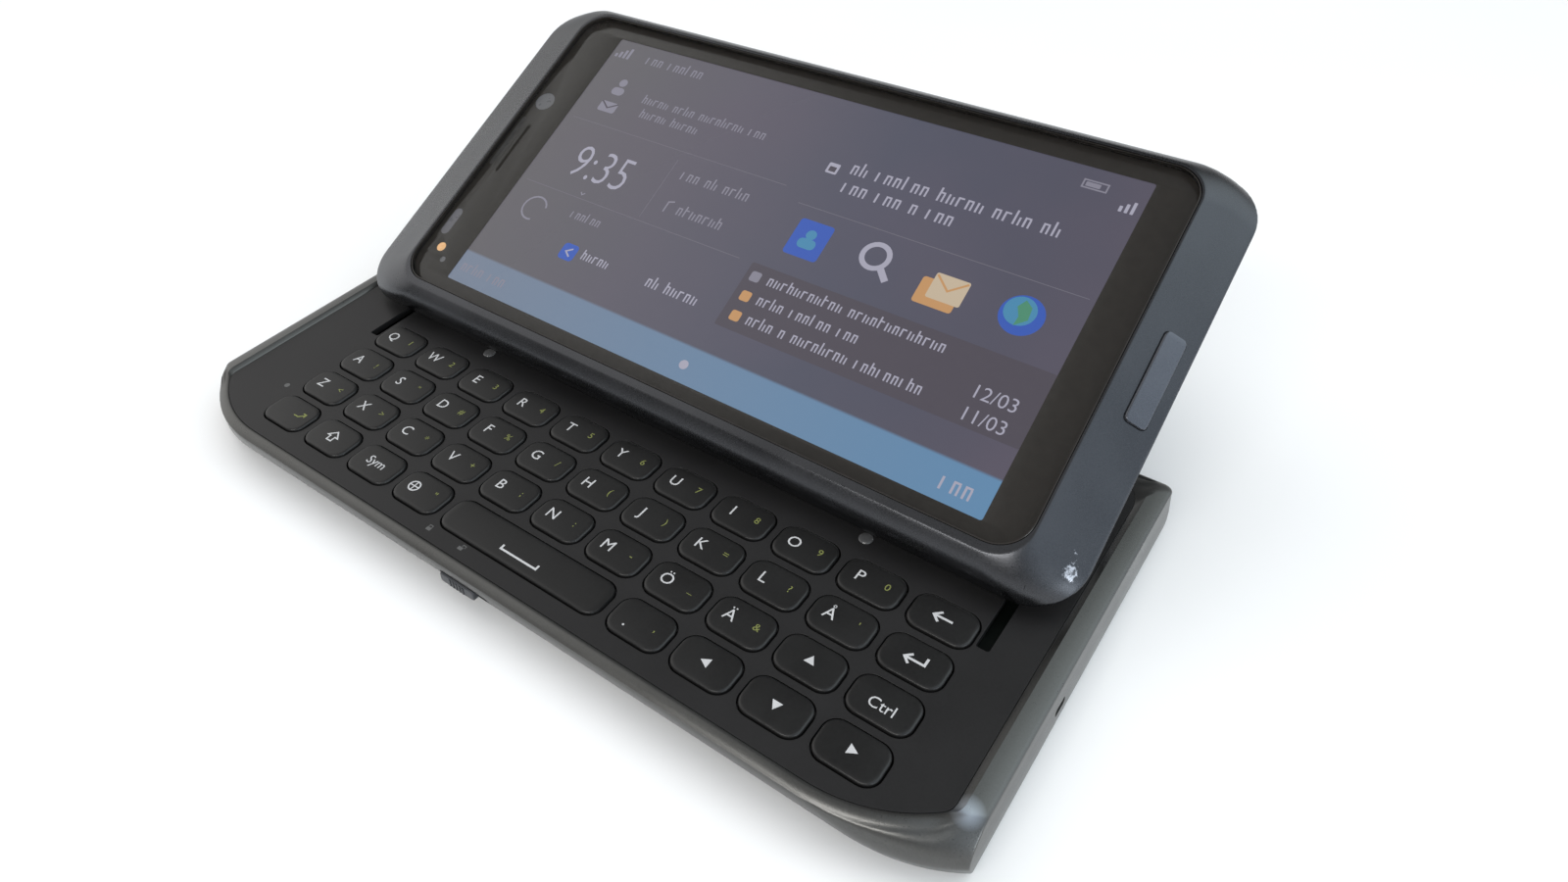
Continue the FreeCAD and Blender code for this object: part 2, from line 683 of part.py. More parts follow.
controlFace = "halfWidth - controlInset + controlProud"
frontControl = ("-(%s)" % controlFace, "-halfWidth + controlDepth - controlGap")
rearControl = ("halfWidth - controlDepth + controlGap", controlFace)
lockSlider = box("lock_slider", ("lockX", "lockX + lockLength"), frontControl, controlSpan)
volumeSlider = box("volume_slider", ("volumeX", "volumeX + volumeLength"), rearControl, controlSpan)
cameraKey = box("camera_key", ("cameraKeyX", "cameraKeyX + cameraKeyLength"),
                ("halfWidth - controlDepth + controlGap + pressTravel", controlFace), controlSpan)
powerKey = box("power_key", ("-halfLength - powerProud", "-halfLength + controlDepth - controlGap - pressTravel"),
               ("powerY", "powerY + powerLength"), controlSpan)
simTray = box("sim_tray", ("trayX", "trayX + trayWidth"),
              ("-halfWidth + trayInset", "-halfWidth + trayInset + trayDepth"), ("trayLow", "trayLow + trayThick"))

# ---- inside the base --------------------------------------------------------------------------

battery = box("battery", ("batteryX", "batteryX + batteryLength"), ("-batteryWidth / 2", "batteryWidth / 2"),
              ("floorThick + partGap", "floorThick + partGap + batteryThick"))
boardPlate = slab("board_plate", symmetric("cavityHalfX - boardGap", "cavityHalfY - boardGap", "cavityCorner"),
                  "boardLow", "boardTop")
boardCut = box("board_cut", ("batteryX - boardGap", "batteryX + batteryLength + boardGap"),
               ("-batteryWidth / 2 - boardGap", "halfWidth"), ("0", "baseHeight"))
jackEnd = "socketEnd + jackDepth"
jackTube = rod("jack_tube", "jackRadius + jackWall", ("socketEnd", jackEnd + " + overcut"), "jackY", "socketHeight")
jackBase = box("jack_base", ("-cavityHalfX + boardGap", jackEnd + " + overcut"),
               ("jackY - jackRadius - jackWall", "jackY + jackRadius + jackWall"), ("boardLow", "socketHeight"))
jackBore = rod("jack_bore", "jackRadius", ("-bodyLength", jackEnd), "jackY", "socketHeight")
usbShell = box("usb_shell", ("-halfLength + usbDepth", "-halfLength + usbDepth + usbLength"),
               ("usbY - usbWidth / 2", "usbY + usbWidth / 2"), ("boardTop - partGap", "socketHeight + usbHeight / 2"))
lensBarrel = disc("lens_barrel", "lensRadius", "lensX", "lensY", ("lensRecess", "lensHeight"))
# west, east, south and north edges of what stands on the board
boardParts = {
    "radio_shield": ("-46", "batteryX - 2", "-18", "-3"),
    "processor_shield": ("19", "40", "4", "24"),
    "power_shield": ("43", "56", "-24", "20"),
    "loudspeaker": ("-46", "-30", "14", "26"),
}
shields = [box(name, (west, east), (south, north), ("boardTop - partGap", "shieldTop"))
           for name, (west, east, south, north) in boardParts.items()]
boardBlank = fuse("board_blank", [boardPlate, jackTube, jackBase, usbShell, lensBarrel] + shields)
mainBoard = cut("main_board", boardBlank, [boardCut, jackBore])

# ---- place the display half slid back and tilted ----------------------------------------------

tilted = Rotation(Vector(1, 0, 0), sizes["tiltAngle"])
pivotLocal = Vector(0, sizes["pivotInset"] - sizes["bodyWidth"] / 2, sizes["pivotInset"])
pivotOpen = pivotLocal + Vector(0, sizes["slideTravel"], sizes["baseHeight"] + sizes["closedGap"])
for piece in (displayFrame, displayBack, frontGlass, displayPanel, menuKey):
    piece.Placement = Placement(pivotOpen - tilted.multVec(pivotLocal), tilted)
doc.recompute()

# ---- check and write --------------------------------------------------------------------------

nodes = [baseShell, keyboardDeck, keyMat, slidePlate, hingePins, swingArms, displayFrame, displayBack,
         frontGlass, displayPanel, menuKey, lockSlider, volumeSlider, cameraKey, powerKey, simTray,
         battery, mainBoard] + keyCaps
for thing in doc.Objects:
    if "Invalid" in thing.State or "Error" in thing.State:
        raise RuntimeError("%s failed: %s" % (thing.Label, thing.State))
os.makedirs("parts", exist_ok=True)
for node in nodes:
    if node.Shape.isNull() or not node.Shape.isValid():
        raise RuntimeError("%s has no valid shape" % node.Label)
for node in nodes:
    node.Shape.exportStep("parts/%s.step" % node.Label)
print("%d pieces written" % len(nodes))
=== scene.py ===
import bpy
import bmesh
import math
from mathutils import Matrix, Vector


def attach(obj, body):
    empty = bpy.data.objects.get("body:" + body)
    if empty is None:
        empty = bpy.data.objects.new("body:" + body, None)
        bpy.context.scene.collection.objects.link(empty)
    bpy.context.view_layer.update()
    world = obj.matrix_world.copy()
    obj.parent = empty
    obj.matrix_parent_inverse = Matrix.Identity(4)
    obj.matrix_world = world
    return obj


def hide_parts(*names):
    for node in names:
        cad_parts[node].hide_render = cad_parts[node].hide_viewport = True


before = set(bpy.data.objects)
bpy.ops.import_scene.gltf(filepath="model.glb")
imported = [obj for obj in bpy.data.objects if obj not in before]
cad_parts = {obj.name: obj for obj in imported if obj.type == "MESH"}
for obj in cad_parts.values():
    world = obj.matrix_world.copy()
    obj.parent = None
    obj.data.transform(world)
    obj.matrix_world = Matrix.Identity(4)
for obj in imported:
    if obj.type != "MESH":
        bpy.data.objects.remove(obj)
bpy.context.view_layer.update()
scene = bpy.context.scene
mm = 0.001
print("frame loaded, %d nodes" % len(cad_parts))

# small tools for meshes, which take millimetres


def meshOf(points, faces, place=Matrix()):
    mesh = bpy.data.meshes.new("shape")
    mesh.from_pydata([place @ (Vector(point) * mm) for point in points], [], faces)
    mesh.update()
    return mesh


def linkPiece(name, data):
    piece = bpy.data.objects.new(name, data)
    scene.collection.objects.link(piece)
    return piece


def settle(holder):
    # the plain mesh that a live object comes to; the object goes, and its modifiers with it
    graph = bpy.context.evaluated_depsgraph_get()
    mesh = bpy.data.meshes.new_from_object(holder.evaluated_get(graph))
    bpy.data.objects.remove(holder)
    return mesh


def configure(thing, **settings):
    for key, value in settings.items():
        setattr(thing, key, value)
    return thing


def shift(x, y, z):
    return Matrix.Translation(Vector((x, y, z)) * mm)


def moved(mesh, place):
    mesh.transform(place)
    return mesh


def circle(cx, cy, radius, sides=24):
    turns = [2 * math.pi * i / sides for i in range(sides)]
    return [(cx + radius * math.cos(turn), cy + radius * math.sin(turn)) for turn in turns]


def roundedOutline(x0, x1, y0, y1, corner, steps=8):
    # counterclockwise, with steps + 1 points in each corner
    points = []
    for cx, cy, start in ((x1 - corner, y1 - corner, 0), (x0 + corner, y1 - corner, 90),
                          (x0 + corner, y0 + corner, 180), (x1 - corner, y0 + corner, 270)):
        for i in range(steps + 1):
            turn = math.radians(start + 90 * i / steps)
            points.append((cx + corner * math.cos(turn), cy + corner * math.sin(turn)))
    return points


def plate(width, height, corner, steps=5):
    return roundedOutline(-width / 2, width / 2, -height / 2, height / 2, corner, steps)


def level(z, outline):
    return [(x, y, z) for x, y in outline]


def loft(rings, place=Matrix()):
    # rings run up the outside, and over the top and down the inside where the shape is a cup
    count = len(rings[0])
    last = (len(rings) - 1) * count
    faces = [list(range(count))[::-1], list(range(last, last + count))]
    for low in range(0, last, count):
        for i in range(count):
            j = (i + 1) % count
            faces.append([low + i, low + j, low + count + j, low + count + i])
    return meshOf([point for ring in rings for point in ring], faces, place)


def prism(outline, low, high, place=Matrix()):
    # a flat outline, drawn counterclockwise, with a thickness
    return loft([level(low, outline), level(high, outline)], place)


def block(x, y, z, place=Matrix()):
    return prism([(x[0], y[0]), (x[1], y[0]), (x[1], y[1]), (x[0], y[1])], *z, place)


def turned(profile, sides, place=Matrix()):
    # a closed turned shape from (radius, height) points, outside first
    return loft([level(height, circle(0, 0, radius, sides)) for radius, height in profile], place)


def hoop(profile, sides, place=Matrix()):
    # a closed ring from a loop of (radius, height) points
    count = len(profile)
    points, faces = [], []
    for i in range(sides):
        turn = 2 * math.pi * i / sides
        points += [(radius * math.cos(turn), radius * math.sin(turn), height) for radius, height in profile]
        a, b = i * count, (i + 1) % sides * count
        faces += [[a + k, b + k, b + (k + 1) % count, a + (k + 1) % count] for k in range(count)]
    return meshOf(points, faces, place)


def joinMeshes(*groups):
    # every group of meshes takes the material slot of its own number
    whole = bmesh.new()
    for index, meshes in enumerate(groups):
        for mesh in meshes:
            first = len(whole.faces)
            whole.from_mesh(mesh)
            whole.faces.ensure_lookup_table()
            for face in whole.faces[first:]:
                face.material_index = index
    joined = bpy.data.meshes.new("joined")
    whole.to_mesh(joined)
    whole.free()
    return joined


def stroke(points, width, low=-0.015, high=0.015, closed=False):
    # a mitred ribbon along a line of points
    count = len(points)
    sides = []
    for i, here in enumerate(points):
        ways = []
        if closed or i:
            ways.append((Vector(here) - Vector(points[i - 1])).normalized())
        if closed or i < count - 1:
            ways.append((Vector(points[(i + 1) % count]) - Vector(here)).normalized())
        way = sum(ways, Vector((0, 0))).normalized()
        normal = Vector((-way.y, way.x))
        reach = normal * (width / 2 / max(0.35, normal.dot(Vector((-ways[0].y, ways[0].x)))))
        sides.append((Vector(here) - reach, Vector(here) + reach))
    pairs = list(zip(sides, sides[1:] + sides[:1]))
    return joinMeshes([prism([a[0], b[0], b[1], a[1]], low, high) for a, b in (pairs if closed else pairs[:-1])])


def carve(mesh, cutters):
    # cuts closed shapes that stand apart from each other out of a mesh
    holder, tool = linkPiece("holder", mesh), linkPiece("cutter", joinMeshes(cutters))
    configure(holder.modifiers.new("cut", "BOOLEAN"), operation="DIFFERENCE", solver="EXACT", object=tool)
    carved = settle(holder)
    bpy.data.objects.remove(tool)
    carved.materials.clear()
    return carved


def plateWithHoles(outer, holes, low, high, edge):
    # a flat plate between two heights, its edges and hole rims rounded
    curve = configure(bpy.data.curves.new("plate", "CURVE"), dimensions="2D", fill_mode="BOTH",
                      extrude=(high - low) * mm / 2 - edge * mm, bevel_depth=edge * mm, bevel_resolution=2,
                      offset=-edge * mm)
    for line in [outer] + holes:
        spline = curve.splines.new("POLY")
        spline.points.add(len(line) - 1)
        for point, (x, y) in zip(spline.points, line):
            point.co = (x * mm, y * mm, 0, 1)
        spline.use_cyclic_u = True
    mesh = settle(linkPiece("plate", curve))
    closed = bmesh.new()
    closed.from_mesh(mesh)
    bmesh.ops.remove_doubles(closed, verts=closed.verts, dist=1e-6)
    bmesh.ops.recalc_face_normals(closed, faces=closed.faces)
    closed.to_mesh(mesh)
    closed.free()
    return moved(mesh, shift(0, 0, (low + high) / 2))


def writing(text, size, thickness=0.03, weight=0.0):
    # flat lettering, centred; weight thins or fattens its strokes
    curve = configure(bpy.data.curves.new("writing", "FONT"), body=text, size=size * mm, resolution_u=3,
                      extrude=thickness * mm / 2, offset=weight * size * mm, align_x="CENTER", align_y="CENTER")
    return settle(linkPiece("writing", curve))


def addPiece(name, mesh, materials, body, replaced=None, angle=35):
    mesh.polygons.foreach_set("use_smooth", [True] * len(mesh.polygons))
    mesh.set_sharp_from_angle(angle=math.radians(angle))
    mesh.update()
    for material in materials:
        mesh.materials.append(finishes[material])
    piece = linkPiece(name, mesh)
    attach(piece, body)
    if replaced:
        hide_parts(replaced)


# small tools for node trees


def setInputs(tree, made, inputs):
    # a value is plain, a socket, a node that stands for its first output, or a list of nodes
    for key, value in inputs.items():
        for part in value if isinstance(value, list) else [value]:
            if isinstance(part, bpy.types.Node):
                tree.links.new(part.outputs[0], made.inputs[key])
            elif isinstance(part, bpy.types.NodeSocket):
                tree.links.new(part, made.inputs[key])
            else:
                made.inputs[key].default_value = part
    return made


def node(tree, kind, inputs=None, **settings):
    return setInputs(tree, configure(tree.nodes.new(kind), **settings), inputs or {})


def maths(tree, operation, *values):
    return node(tree, "ShaderNodeMath", dict(enumerate(values)), operation=operation).outputs[0]


def measure(tree, operation, first, second):
    # one number from two vectors
    return node(tree, "ShaderNodeVectorMath", {0: first, 1: second}, operation=operation).outputs["Value"]


def objectPoint(tree):
    return node(tree, "ShaderNodeTexCoord").outputs["Object"]


def spread(tree, value, low, high, fromLow=0.3, fromHigh=0.7, blend="LINEAR"):
    return node(tree, "ShaderNodeMapRange", {"Value": value, "From Min": fromLow, "From Max": fromHigh,
                                             "To Min": low, "To Max": high}, interpolation_type=blend).outputs["Result"]


def noise(tree, scale, detail=4, stretch=(1, 1, 1), roughness=0.5):
    where = objectPoint(tree)
    if stretch != (1, 1, 1):
        where = node(tree, "ShaderNodeMapping", {"Vector": where, "Scale": stretch})
    return node(tree, "ShaderNodeTexNoise", {"Vector": where, "Scale": scale, "Detail": detail,
                                             "Roughness": roughness}).outputs["Fac"]


def opaque(colour):
    return colour if isinstance(colour, bpy.types.NodeSocket) else (*colour[:3], 1)


def blendColour(tree, factor, first, second):
    return node(tree, "ShaderNodeMix", {0: factor, 6: opaque(first), 7: opaque(second)}, data_type="RGBA").outputs[2]


# places that several pieces share

places = {"tilt": 27.0, "pivot": (0, 3.2, 10.1), "pivotInDisplay": (0, -28.6, 2.6), "railX": (-48.7, 52.7)}
displayPlace = (shift(*places["pivot"]) @ Matrix.Rotation(math.radians(places["tilt"]), 4, "X")
                @ shift(*[-v for v in places["pivotInDisplay"]]))


def sideFace(x, y, z, facing):
    # a frame whose local Z points out of the named side, local X along it and local Y up
    axes = {"front": ((1, 0, 0), (0, 0, 1), (0, -1, 0)), "rear": ((-1, 0, 0), (0, 0, 1), (0, 1, 0)),
            "left": ((0, -1, 0), (0, 0, 1), (-1, 0, 0)), "right": ((0, 1, 0), (0, 0, 1), (1, 0, 0)),
            "under": ((1, 0, 0), (0, -1, 0), (0, 0, -1))}[facing]
    return shift(x, y, z) @ Matrix(axes).transposed().to_4x4()


# camera, floor and light

studio = {
    "camera": {"lens": 25.31, "sensor_width": 36, "shift_x": 0.0488, "shift_y": -0.0656, "clip_start": 0.005,
               "clip_end": 20},
    "view": ((0.80238, -0.3409, 0.48987, 0.076027), (0.59591, 0.50266, -0.62627, -0.081424),
             (-0.03274, 0.79443, 0.60647, 0.107778), (0, 0, 0, 1)),
    "floor": (-6000, -6000, 6000, 6000), "floorZ": -0.02,
    # the sky is pale at the horizon and dim overhead, less bright at the left, with broad soft windows in it
    "sky": (0.98, 0.99, 1.0), "horizon": 0.95, "overhead": 0.17, "fade": (0.10, 0.42),
    "dimToward": (-0.94, -0.15, 0.05), "dimTo": 0.25, "dimFade": (0.35, 0.9),
    # direction, angle where a window ends and where it is full, strength, colour
    "windows": [((-0.84, -0.08, 0.50), 46, 10, 1.25, (1.0, 0.985, 0.965)),
                ((0.84, 0.16, 0.52), 62, 12, 1.0, (0.76, 0.88, 1.0)),
                ((0.45, 0.55, 0.70), 30, 10, 0.9, (0.90, 1.0, 0.97)),
                ((0.0, -0.25, 0.97), 42, 8, 0.20, (1.0, 0.99, 0.97))],
    # direction from the phone, distance, size, colour, watts, whether it shows in gloss
    "lights": {
        "frontSoft": ((0.10, -0.74, 0.67), 0.85, (0.55, 0.16), (1.0, 0.985, 0.96), 2.6, True),
        "rightLow": ((0.92, -0.25, 0.27), 0.80, (0.26, 0.16), (0.86, 0.94, 1.0), 0.6, True),
        "topFill": ((-0.12, 0.16, 0.98), 1.0, (0.9, 0.9), (1.0, 1.0, 1.0), 3.4, False),
    },
    "lightsAim": (0, 0.01, 0.01),
}
camera = linkPiece("camera", configure(bpy.data.cameras.new("camera"), **studio["camera"]))
camera.matrix_world = Matrix(studio["view"])
scene.camera = camera
scene.view_settings.view_transform = "Standard"

floorEdge = studio["floor"]
floorMesh = meshOf(level(studio["floorZ"], [(x, y) for x, y in zip(floorEdge, floorEdge[1:] + floorEdge[:1])]),
                   [(0, 1, 2, 3)])
floor = linkPiece("floor", floorMesh)

world = bpy.data.worlds.new("studio")
scene.world = world
world.use_nodes = True
sky = world.node_tree
skyWay = node(sky, "ShaderNodeTexCoord").outputs["Generated"]


def skyFade(value, low, high, start, end):
    return spread(sky, value, low, high, start, end, "SMOOTHSTEP")


def toward(direction):
    return measure(sky, "DOT_PRODUCT", skyWay, Vector(direction).normalized())


skyHeight = node(sky, "ShaderNodeSeparateXYZ", {0: skyWay}).outputs["Z"]
skyStrength = maths(sky, "MULTIPLY", skyFade(skyHeight, studio["horizon"], studio["overhead"], *studio["fade"]),
                    skyFade(toward(studio["dimToward"]), 1.0, studio["dimTo"], *studio["dimFade"]))
skyLight = setInputs(sky, sky.nodes["Background"], {"Color": opaque(studio["sky"]), "Strength": skyStrength})
for direction, outer, inner, strength, colour in studio["windows"]:
    glow = skyFade(toward(direction), 0, strength, math.cos(math.radians(outer)), math.cos(math.radians(inner)))
    window = node(sky, "ShaderNodeBackground", {"Color": opaque(colour), "Strength": glow})
    skyLight = node(sky, "ShaderNodeAddShader", {0: skyLight, 1: window})
setInputs(sky, sky.nodes["World Output"], {"Surface": skyLight})
for name, (direction, distance, (width, height), colour, watts, inGloss) in studio["lights"].items():
    light = linkPiece(name, configure(bpy.data.lights.new(name, "AREA"), shape="RECTANGLE", size=width, size_y=height,
                                      color=colour, energy=watts))
    way = Vector(direction).normalized()
    configure(light, visible_camera=False, visible_glossy=inGloss, rotation_mode="QUATERNION",
              location=Vector(studio["lightsAim"]) + way * distance, rotation_quaternion=way.to_track_quat("Z", "Y"))
print("camera and light ready")

# materials


def newMaterial(name):
    material = bpy.data.materials.new(name)
    material.use_nodes = True
    return material, material.node_tree, material.node_tree.nodes["Principled BSDF"]


grainLook = {
    # shares of clouds and grain, the range that shows, spread of roughness, bump; then the fleck size of worn metal,
    # how softly it sets in and its share of the roughness
    "shares": (0.6, 0.4), "range": (0.35, 0.65), "roughSpread": 0.08, "bump": 0.35,
    "flecks": 1400, "wearFade": 0.12, "wornRoughness": 0.7,
}


def grainyFinish(name, tone, roughness, metallic=0.0, grain=5200, grainDepth=0.012, cloud=70, contrast=0.12,
                 worn=None, paintedGlint=None, stretch=(1, 1, 1), specular=0.5):
    # a fine grained, slightly uneven surface; worn adds bare metal where the wear attribute says, and paintedGlint adds
    # a painted highlight, a soft lighter spot about one point
    material, tree, shader = newMaterial(name)
    clouds = noise(tree, cloud, 5)
    fine = noise(tree, grain, 3, stretch)
    mixed = maths(tree, "ADD", *[maths(tree, "MULTIPLY", part, share)
                                 for part, share in zip((clouds, fine), grainLook["shares"])])
    colour = blendColour(tree, spread(tree, mixed, 0, 1, *grainLook["range"]), [c * (1 - contrast) for c in tone],
                         [c * (1 + contrast) for c in tone])
    rough = spread(tree, mixed, roughness - grainLook["roughSpread"], roughness + grainLook["roughSpread"])
    if worn:
        wear = node(tree, "ShaderNodeAttribute", attribute_name="wear").outputs["Fac"]
        flecks = noise(tree, grainLook["flecks"], 6, roughness=0.65)
        mask = spread(tree, maths(tree, "ADD", wear, flecks), 0, 1, worn["start"],
                      worn["start"] + grainLook["wearFade"])
        colour = blendColour(tree, mask, colour, worn["tone"])
        rough = maths(tree, "MULTIPLY", rough, spread(tree, mask, 1, grainLook["wornRoughness"], 0, 1))
        metallic = spread(tree, mask, metallic, 1, 0, 1)
    # painted highlight: the colour turns lighter about one point, standing in for a glint of light there
    if paintedGlint:
        away = measure(tree, "DISTANCE", objectPoint(tree), Vector(paintedGlint["at"]) * mm)
        mask = spread(tree, away, paintedGlint["share"], 0, paintedGlint["inner"] * mm, paintedGlint["outer"] * mm)
        colour = blendColour(tree, mask, colour, paintedGlint["tone"])
    bump = node(tree, "ShaderNodeBump", {"Height": fine, "Strength": grainLook["bump"], "Distance": grainDepth * mm})
    setInputs(tree, shader, {"Base Color": colour, "Roughness": rough, "Metallic": metallic,
                             "Specular IOR Level": specular, "Normal": bump})
    return material


def plainFinish(name, tone, roughness, metallic=0.0, emission=None, strength=0.0, specular=0.5):
    # for small inks and trims: one tone with a faint cloudiness in its gloss
    material, tree, shader = newMaterial(name)
    clouds = noise(tree, 900, 3)
    colour = blendColour(tree, spread(tree, clouds, 0, 1), [c * 0.94 for c in tone], [min(1, c * 1.06) for c in tone])
    setInputs(tree, shader, {"Base Color": colour, "Metallic": metallic, "Specular IOR Level": specular,
                             "Roughness": spread(tree, clouds, roughness * 0.85, roughness * 1.15)})
    if emission:
        setInputs(tree, shader, {"Emission Color": opaque(emission), "Emission Strength": strength})
    return material


def glassMaterial():
    # clear glass that light passes straight through; what lies under the pane carries its gloss
    material, tree, shader = newMaterial("frontGlass")
    tree.nodes.remove(shader)
    clear = node(tree, "ShaderNodeBsdfTransparent", {"Color": (0.985, 0.99, 0.99, 1)})
    setInputs(tree, tree.nodes["Material Output"], {"Surface": clear})
    return material


panelLook = {
    "middle": (2.4, 0, 5.1), "ends": (-0.042, 0.047), "barEdge": (-0.0197, -0.0193),
    "stops": [(0.0, (0.115, 0.112, 0.118)), (0.3, (0.105, 0.098, 0.125)), (0.62, (0.072, 0.078, 0.112)),
              (1.0, (0.085, 0.078, 0.108))],
    "haze": (0.12, 0.095, 0.13), "bar": ((0.17, 0.205, 0.275), (0.115, 0.24, 0.40)), "base": (0.01, 0.01, 0.012),
}


def screenMaterial():
    # the lit panel: a dusky wallpaper with a lighter bar along its near edge
    material, tree, shader = newMaterial("litPanel")
    where = objectPoint(tree)
    across = spread(tree, node(tree, "ShaderNodeSeparateXYZ", {0: where}).outputs["X"], 0, 1, *panelLook["ends"])
    tilt = math.radians(places["tilt"])
    fromMiddle = node(tree, "ShaderNodeVectorMath", {0: where, 1: displayPlace @ (Vector(panelLook["middle"]) * mm)},
                      operation="SUBTRACT")
    upward = measure(tree, "DOT_PRODUCT", fromMiddle, (0, math.cos(tilt), math.sin(tilt)))
    ramp = node(tree, "ShaderNodeValToRGB", {"Fac": across})
    for index, (position, colour) in enumerate(panelLook["stops"]):
        stop = ramp.color_ramp.elements[index] if index < 2 else ramp.color_ramp.elements.new(position)
        configure(stop, position=position, color=opaque(colour))
    veil = noise(tree, 38, 3)
    wallpaper = blendColour(tree, spread(tree, veil, 0.0, 0.35), ramp.outputs["Color"], panelLook["haze"])
    inBar = spread(tree, upward, 1, 0, *panelLook["barEdge"])
    glow = blendColour(tree, inBar, wallpaper, blendColour(tree, across, *panelLook["bar"]))
    setInputs(tree, shader, {"Base Color": opaque(panelLook["base"]), "Roughness": spread(tree, veil, 0.12, 0.16),
                             "Emission Color": glow, "Emission Strength": 1.0, "Specular IOR Level": 0.3})
    return material


def floorMaterial():
    material, tree, shader = newMaterial("studioFloor")
    clouds = noise(tree, 6, 3)
    colour = blendColour(tree, spread(tree, clouds, 0, 1), (0.90, 0.90, 0.90), (0.93, 0.93, 0.93))
    setInputs(tree, shader, {"Base Color": colour, "Roughness": spread(tree, clouds, 0.6, 0.7)})
    return material


finishes = {
    # the shell's front right corner carries a painted glint, a lighter bluish spot in its colour in place of a
    # reflection
    "shell": grainyFinish("anodisedShell", (0.107, 0.107, 0.104), 0.32, metallic=0.9, specular=0.42,
                          paintedGlint={"at": (59.8, -23.3, 7.2), "inner": 0.4, "outer": 1.9, "share": 0.85,
                                  "tone": (0.36, 0.39, 0.43)}),
    "frame": grainyFinish("anodisedFrame", (0.070, 0.072, 0.078), 0.28, metallic=0.97, specular=0.4,
                          worn={"start": 1.26, "tone": (0.62, 0.62, 0.65)}),
    "back": grainyFinish("displayBackPaint", (0.024, 0.0235, 0.025), 0.46, metallic=0.1, grain=4200, specular=0.4),
    "deck": grainyFinish("deckPlastic", (0.0135, 0.0130, 0.0134), 0.42, grain=3600, grainDepth=0.02, specular=0.34),
    "keys": grainyFinish("keyPlastic", (0.0090, 0.0088, 0.0088), 0.36, grain=3000, grainDepth=0.015, cloud=160,
                         specular=0.42),
    "controls": grainyFinish("controlPlastic", (0.05, 0.052, 0.058), 0.36, metallic=0.4),
    "menu": grainyFinish("menuKeyMetal", (0.10, 0.106, 0.122), 0.30, metallic=0.8),
    "pad": grainyFinish("bumperPlastic", (0.09, 0.09, 0.092), 0.2, grain=2500, cloud=500),
    "mat": grainyFinish("keyMatRubber", (0.045, 0.045, 0.047), 0.6, grain=2200, grainDepth=0.03, specular=0.3),
    # the board is near black: partly its own dark resist, darkened further as painted shade so the rail slots over it
    # read as dark
    "board": grainyFinish("boardResinWithSlotShade", (0.004, 0.006, 0.005), 0.5, grain=1800, cloud=260, specular=0.3),
    "battery": grainyFinish("batteryFoil", (0.26, 0.27, 0.29), 0.34, metallic=0.8, grain=1400, cloud=90),
    "steel": grainyFinish("brushedSteel", (0.20, 0.20, 0.205), 0.32, metallic=1.0, grain=1500, grainDepth=0.006,
                          stretch=(0.06, 1, 1), contrast=0.16),
    "tray": grainyFinish("trayMetal", (0.036, 0.035, 0.037), 0.38, metallic=0.3),
    "darkSteel": grainyFinish("darkSteel", (0.10, 0.10, 0.105), 0.3, metallic=1.0, grain=2600),
    "chrome": plainFinish("chromeTrim", (0.62, 0.62, 0.64), 0.12, metallic=1.0),
    "gold": plainFinish("goldContact", (0.78, 0.56, 0.24), 0.22, metallic=1.0),
    "legend": plainFinish("legendInk", (0.50, 0.50, 0.51), 0.5),
    "altLegend": plainFinish("altLegendInk", (0.17, 0.185, 0.05), 0.5),
    "black": plainFinish("glassPrint", (0.0240, 0.0212, 0.0190), 0.14, specular=0.3),
    "mark": plainFinish("deckMarkInk", (0.085, 0.085, 0.085), 0.5),
    "cavity": plainFinish("cavityBlack", (0.008, 0.008, 0.008), 0.7),
    "lens": plainFinish("lensGlass", (0.012, 0.011, 0.02), 0.06),
    "flash": plainFinish("flashDiffuser", (0.75, 0.74, 0.62), 0.18),
    # painted light: the front camera and the sensor window glow faintly in place of the light they catch, and the amber
    # spot glows as a painted glint
    "cameraGrey": plainFinish("frontCameraPaintedGlow", (0.07, 0.07, 0.075), 0.3, emission=(0.5, 0.5, 0.55), strength=0.035),
    "sensor": plainFinish("sensorWindow", (0.05, 0.05, 0.06), 0.3, emission=(0.5, 0.48, 0.5), strength=0.09),
    "amber": plainFinish("amberPaintedGlint", (0.3, 0.15, 0.05), 0.3, emission=(1.0, 0.62, 0.32), strength=0.45),
    "glass": glassMaterial(),
    "screen": screenMaterial(),
}
floorMesh.materials.append(floorMaterial())
for nodeName, finish in {"key_mat": "mat", "main_board": "board", "battery": "battery", "slide_plate": "steel",
                         "hinge_pins": "darkSteel", "swing_arms": "steel", "display_panel": "screen"}.items():
    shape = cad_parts[nodeName]
    if not shape.material_slots:
        shape.data.materials.append(finishes[finish])
    for materialSlot in shape.material_slots:
        materialSlot.material = finishes[finish]
print("materials ready")

# geometry trees: rounded caps for keys and controls, and small shapes repeated on points


def startTree(name, labels, onPoints=False):
    tree = bpy.data.node_groups.new(name, "GeometryNodeTree")
    if onPoints:
        tree.interface.new_socket("Geometry", in_out="INPUT", socket_type="NodeSocketGeometry")
    for label in labels:
        tree.interface.new_socket(label, in_out="INPUT", socket_type="NodeSocketFloat").default_value = mm
    tree.interface.new_socket("Geometry", in_out="OUTPUT", socket_type="NodeSocketGeometry")
    return tree, tree.nodes.new("NodeGroupInput").outputs


def endTree(tree, geometry, material):
    real = node(tree, "GeometryNodeRealizeInstances", {"Geometry": geometry})
    painted = node(tree, "GeometryNodeSetMaterial", {"Geometry": real, "Material": material})
    node(tree, "NodeGroupOutput", {0: painted})
    return tree


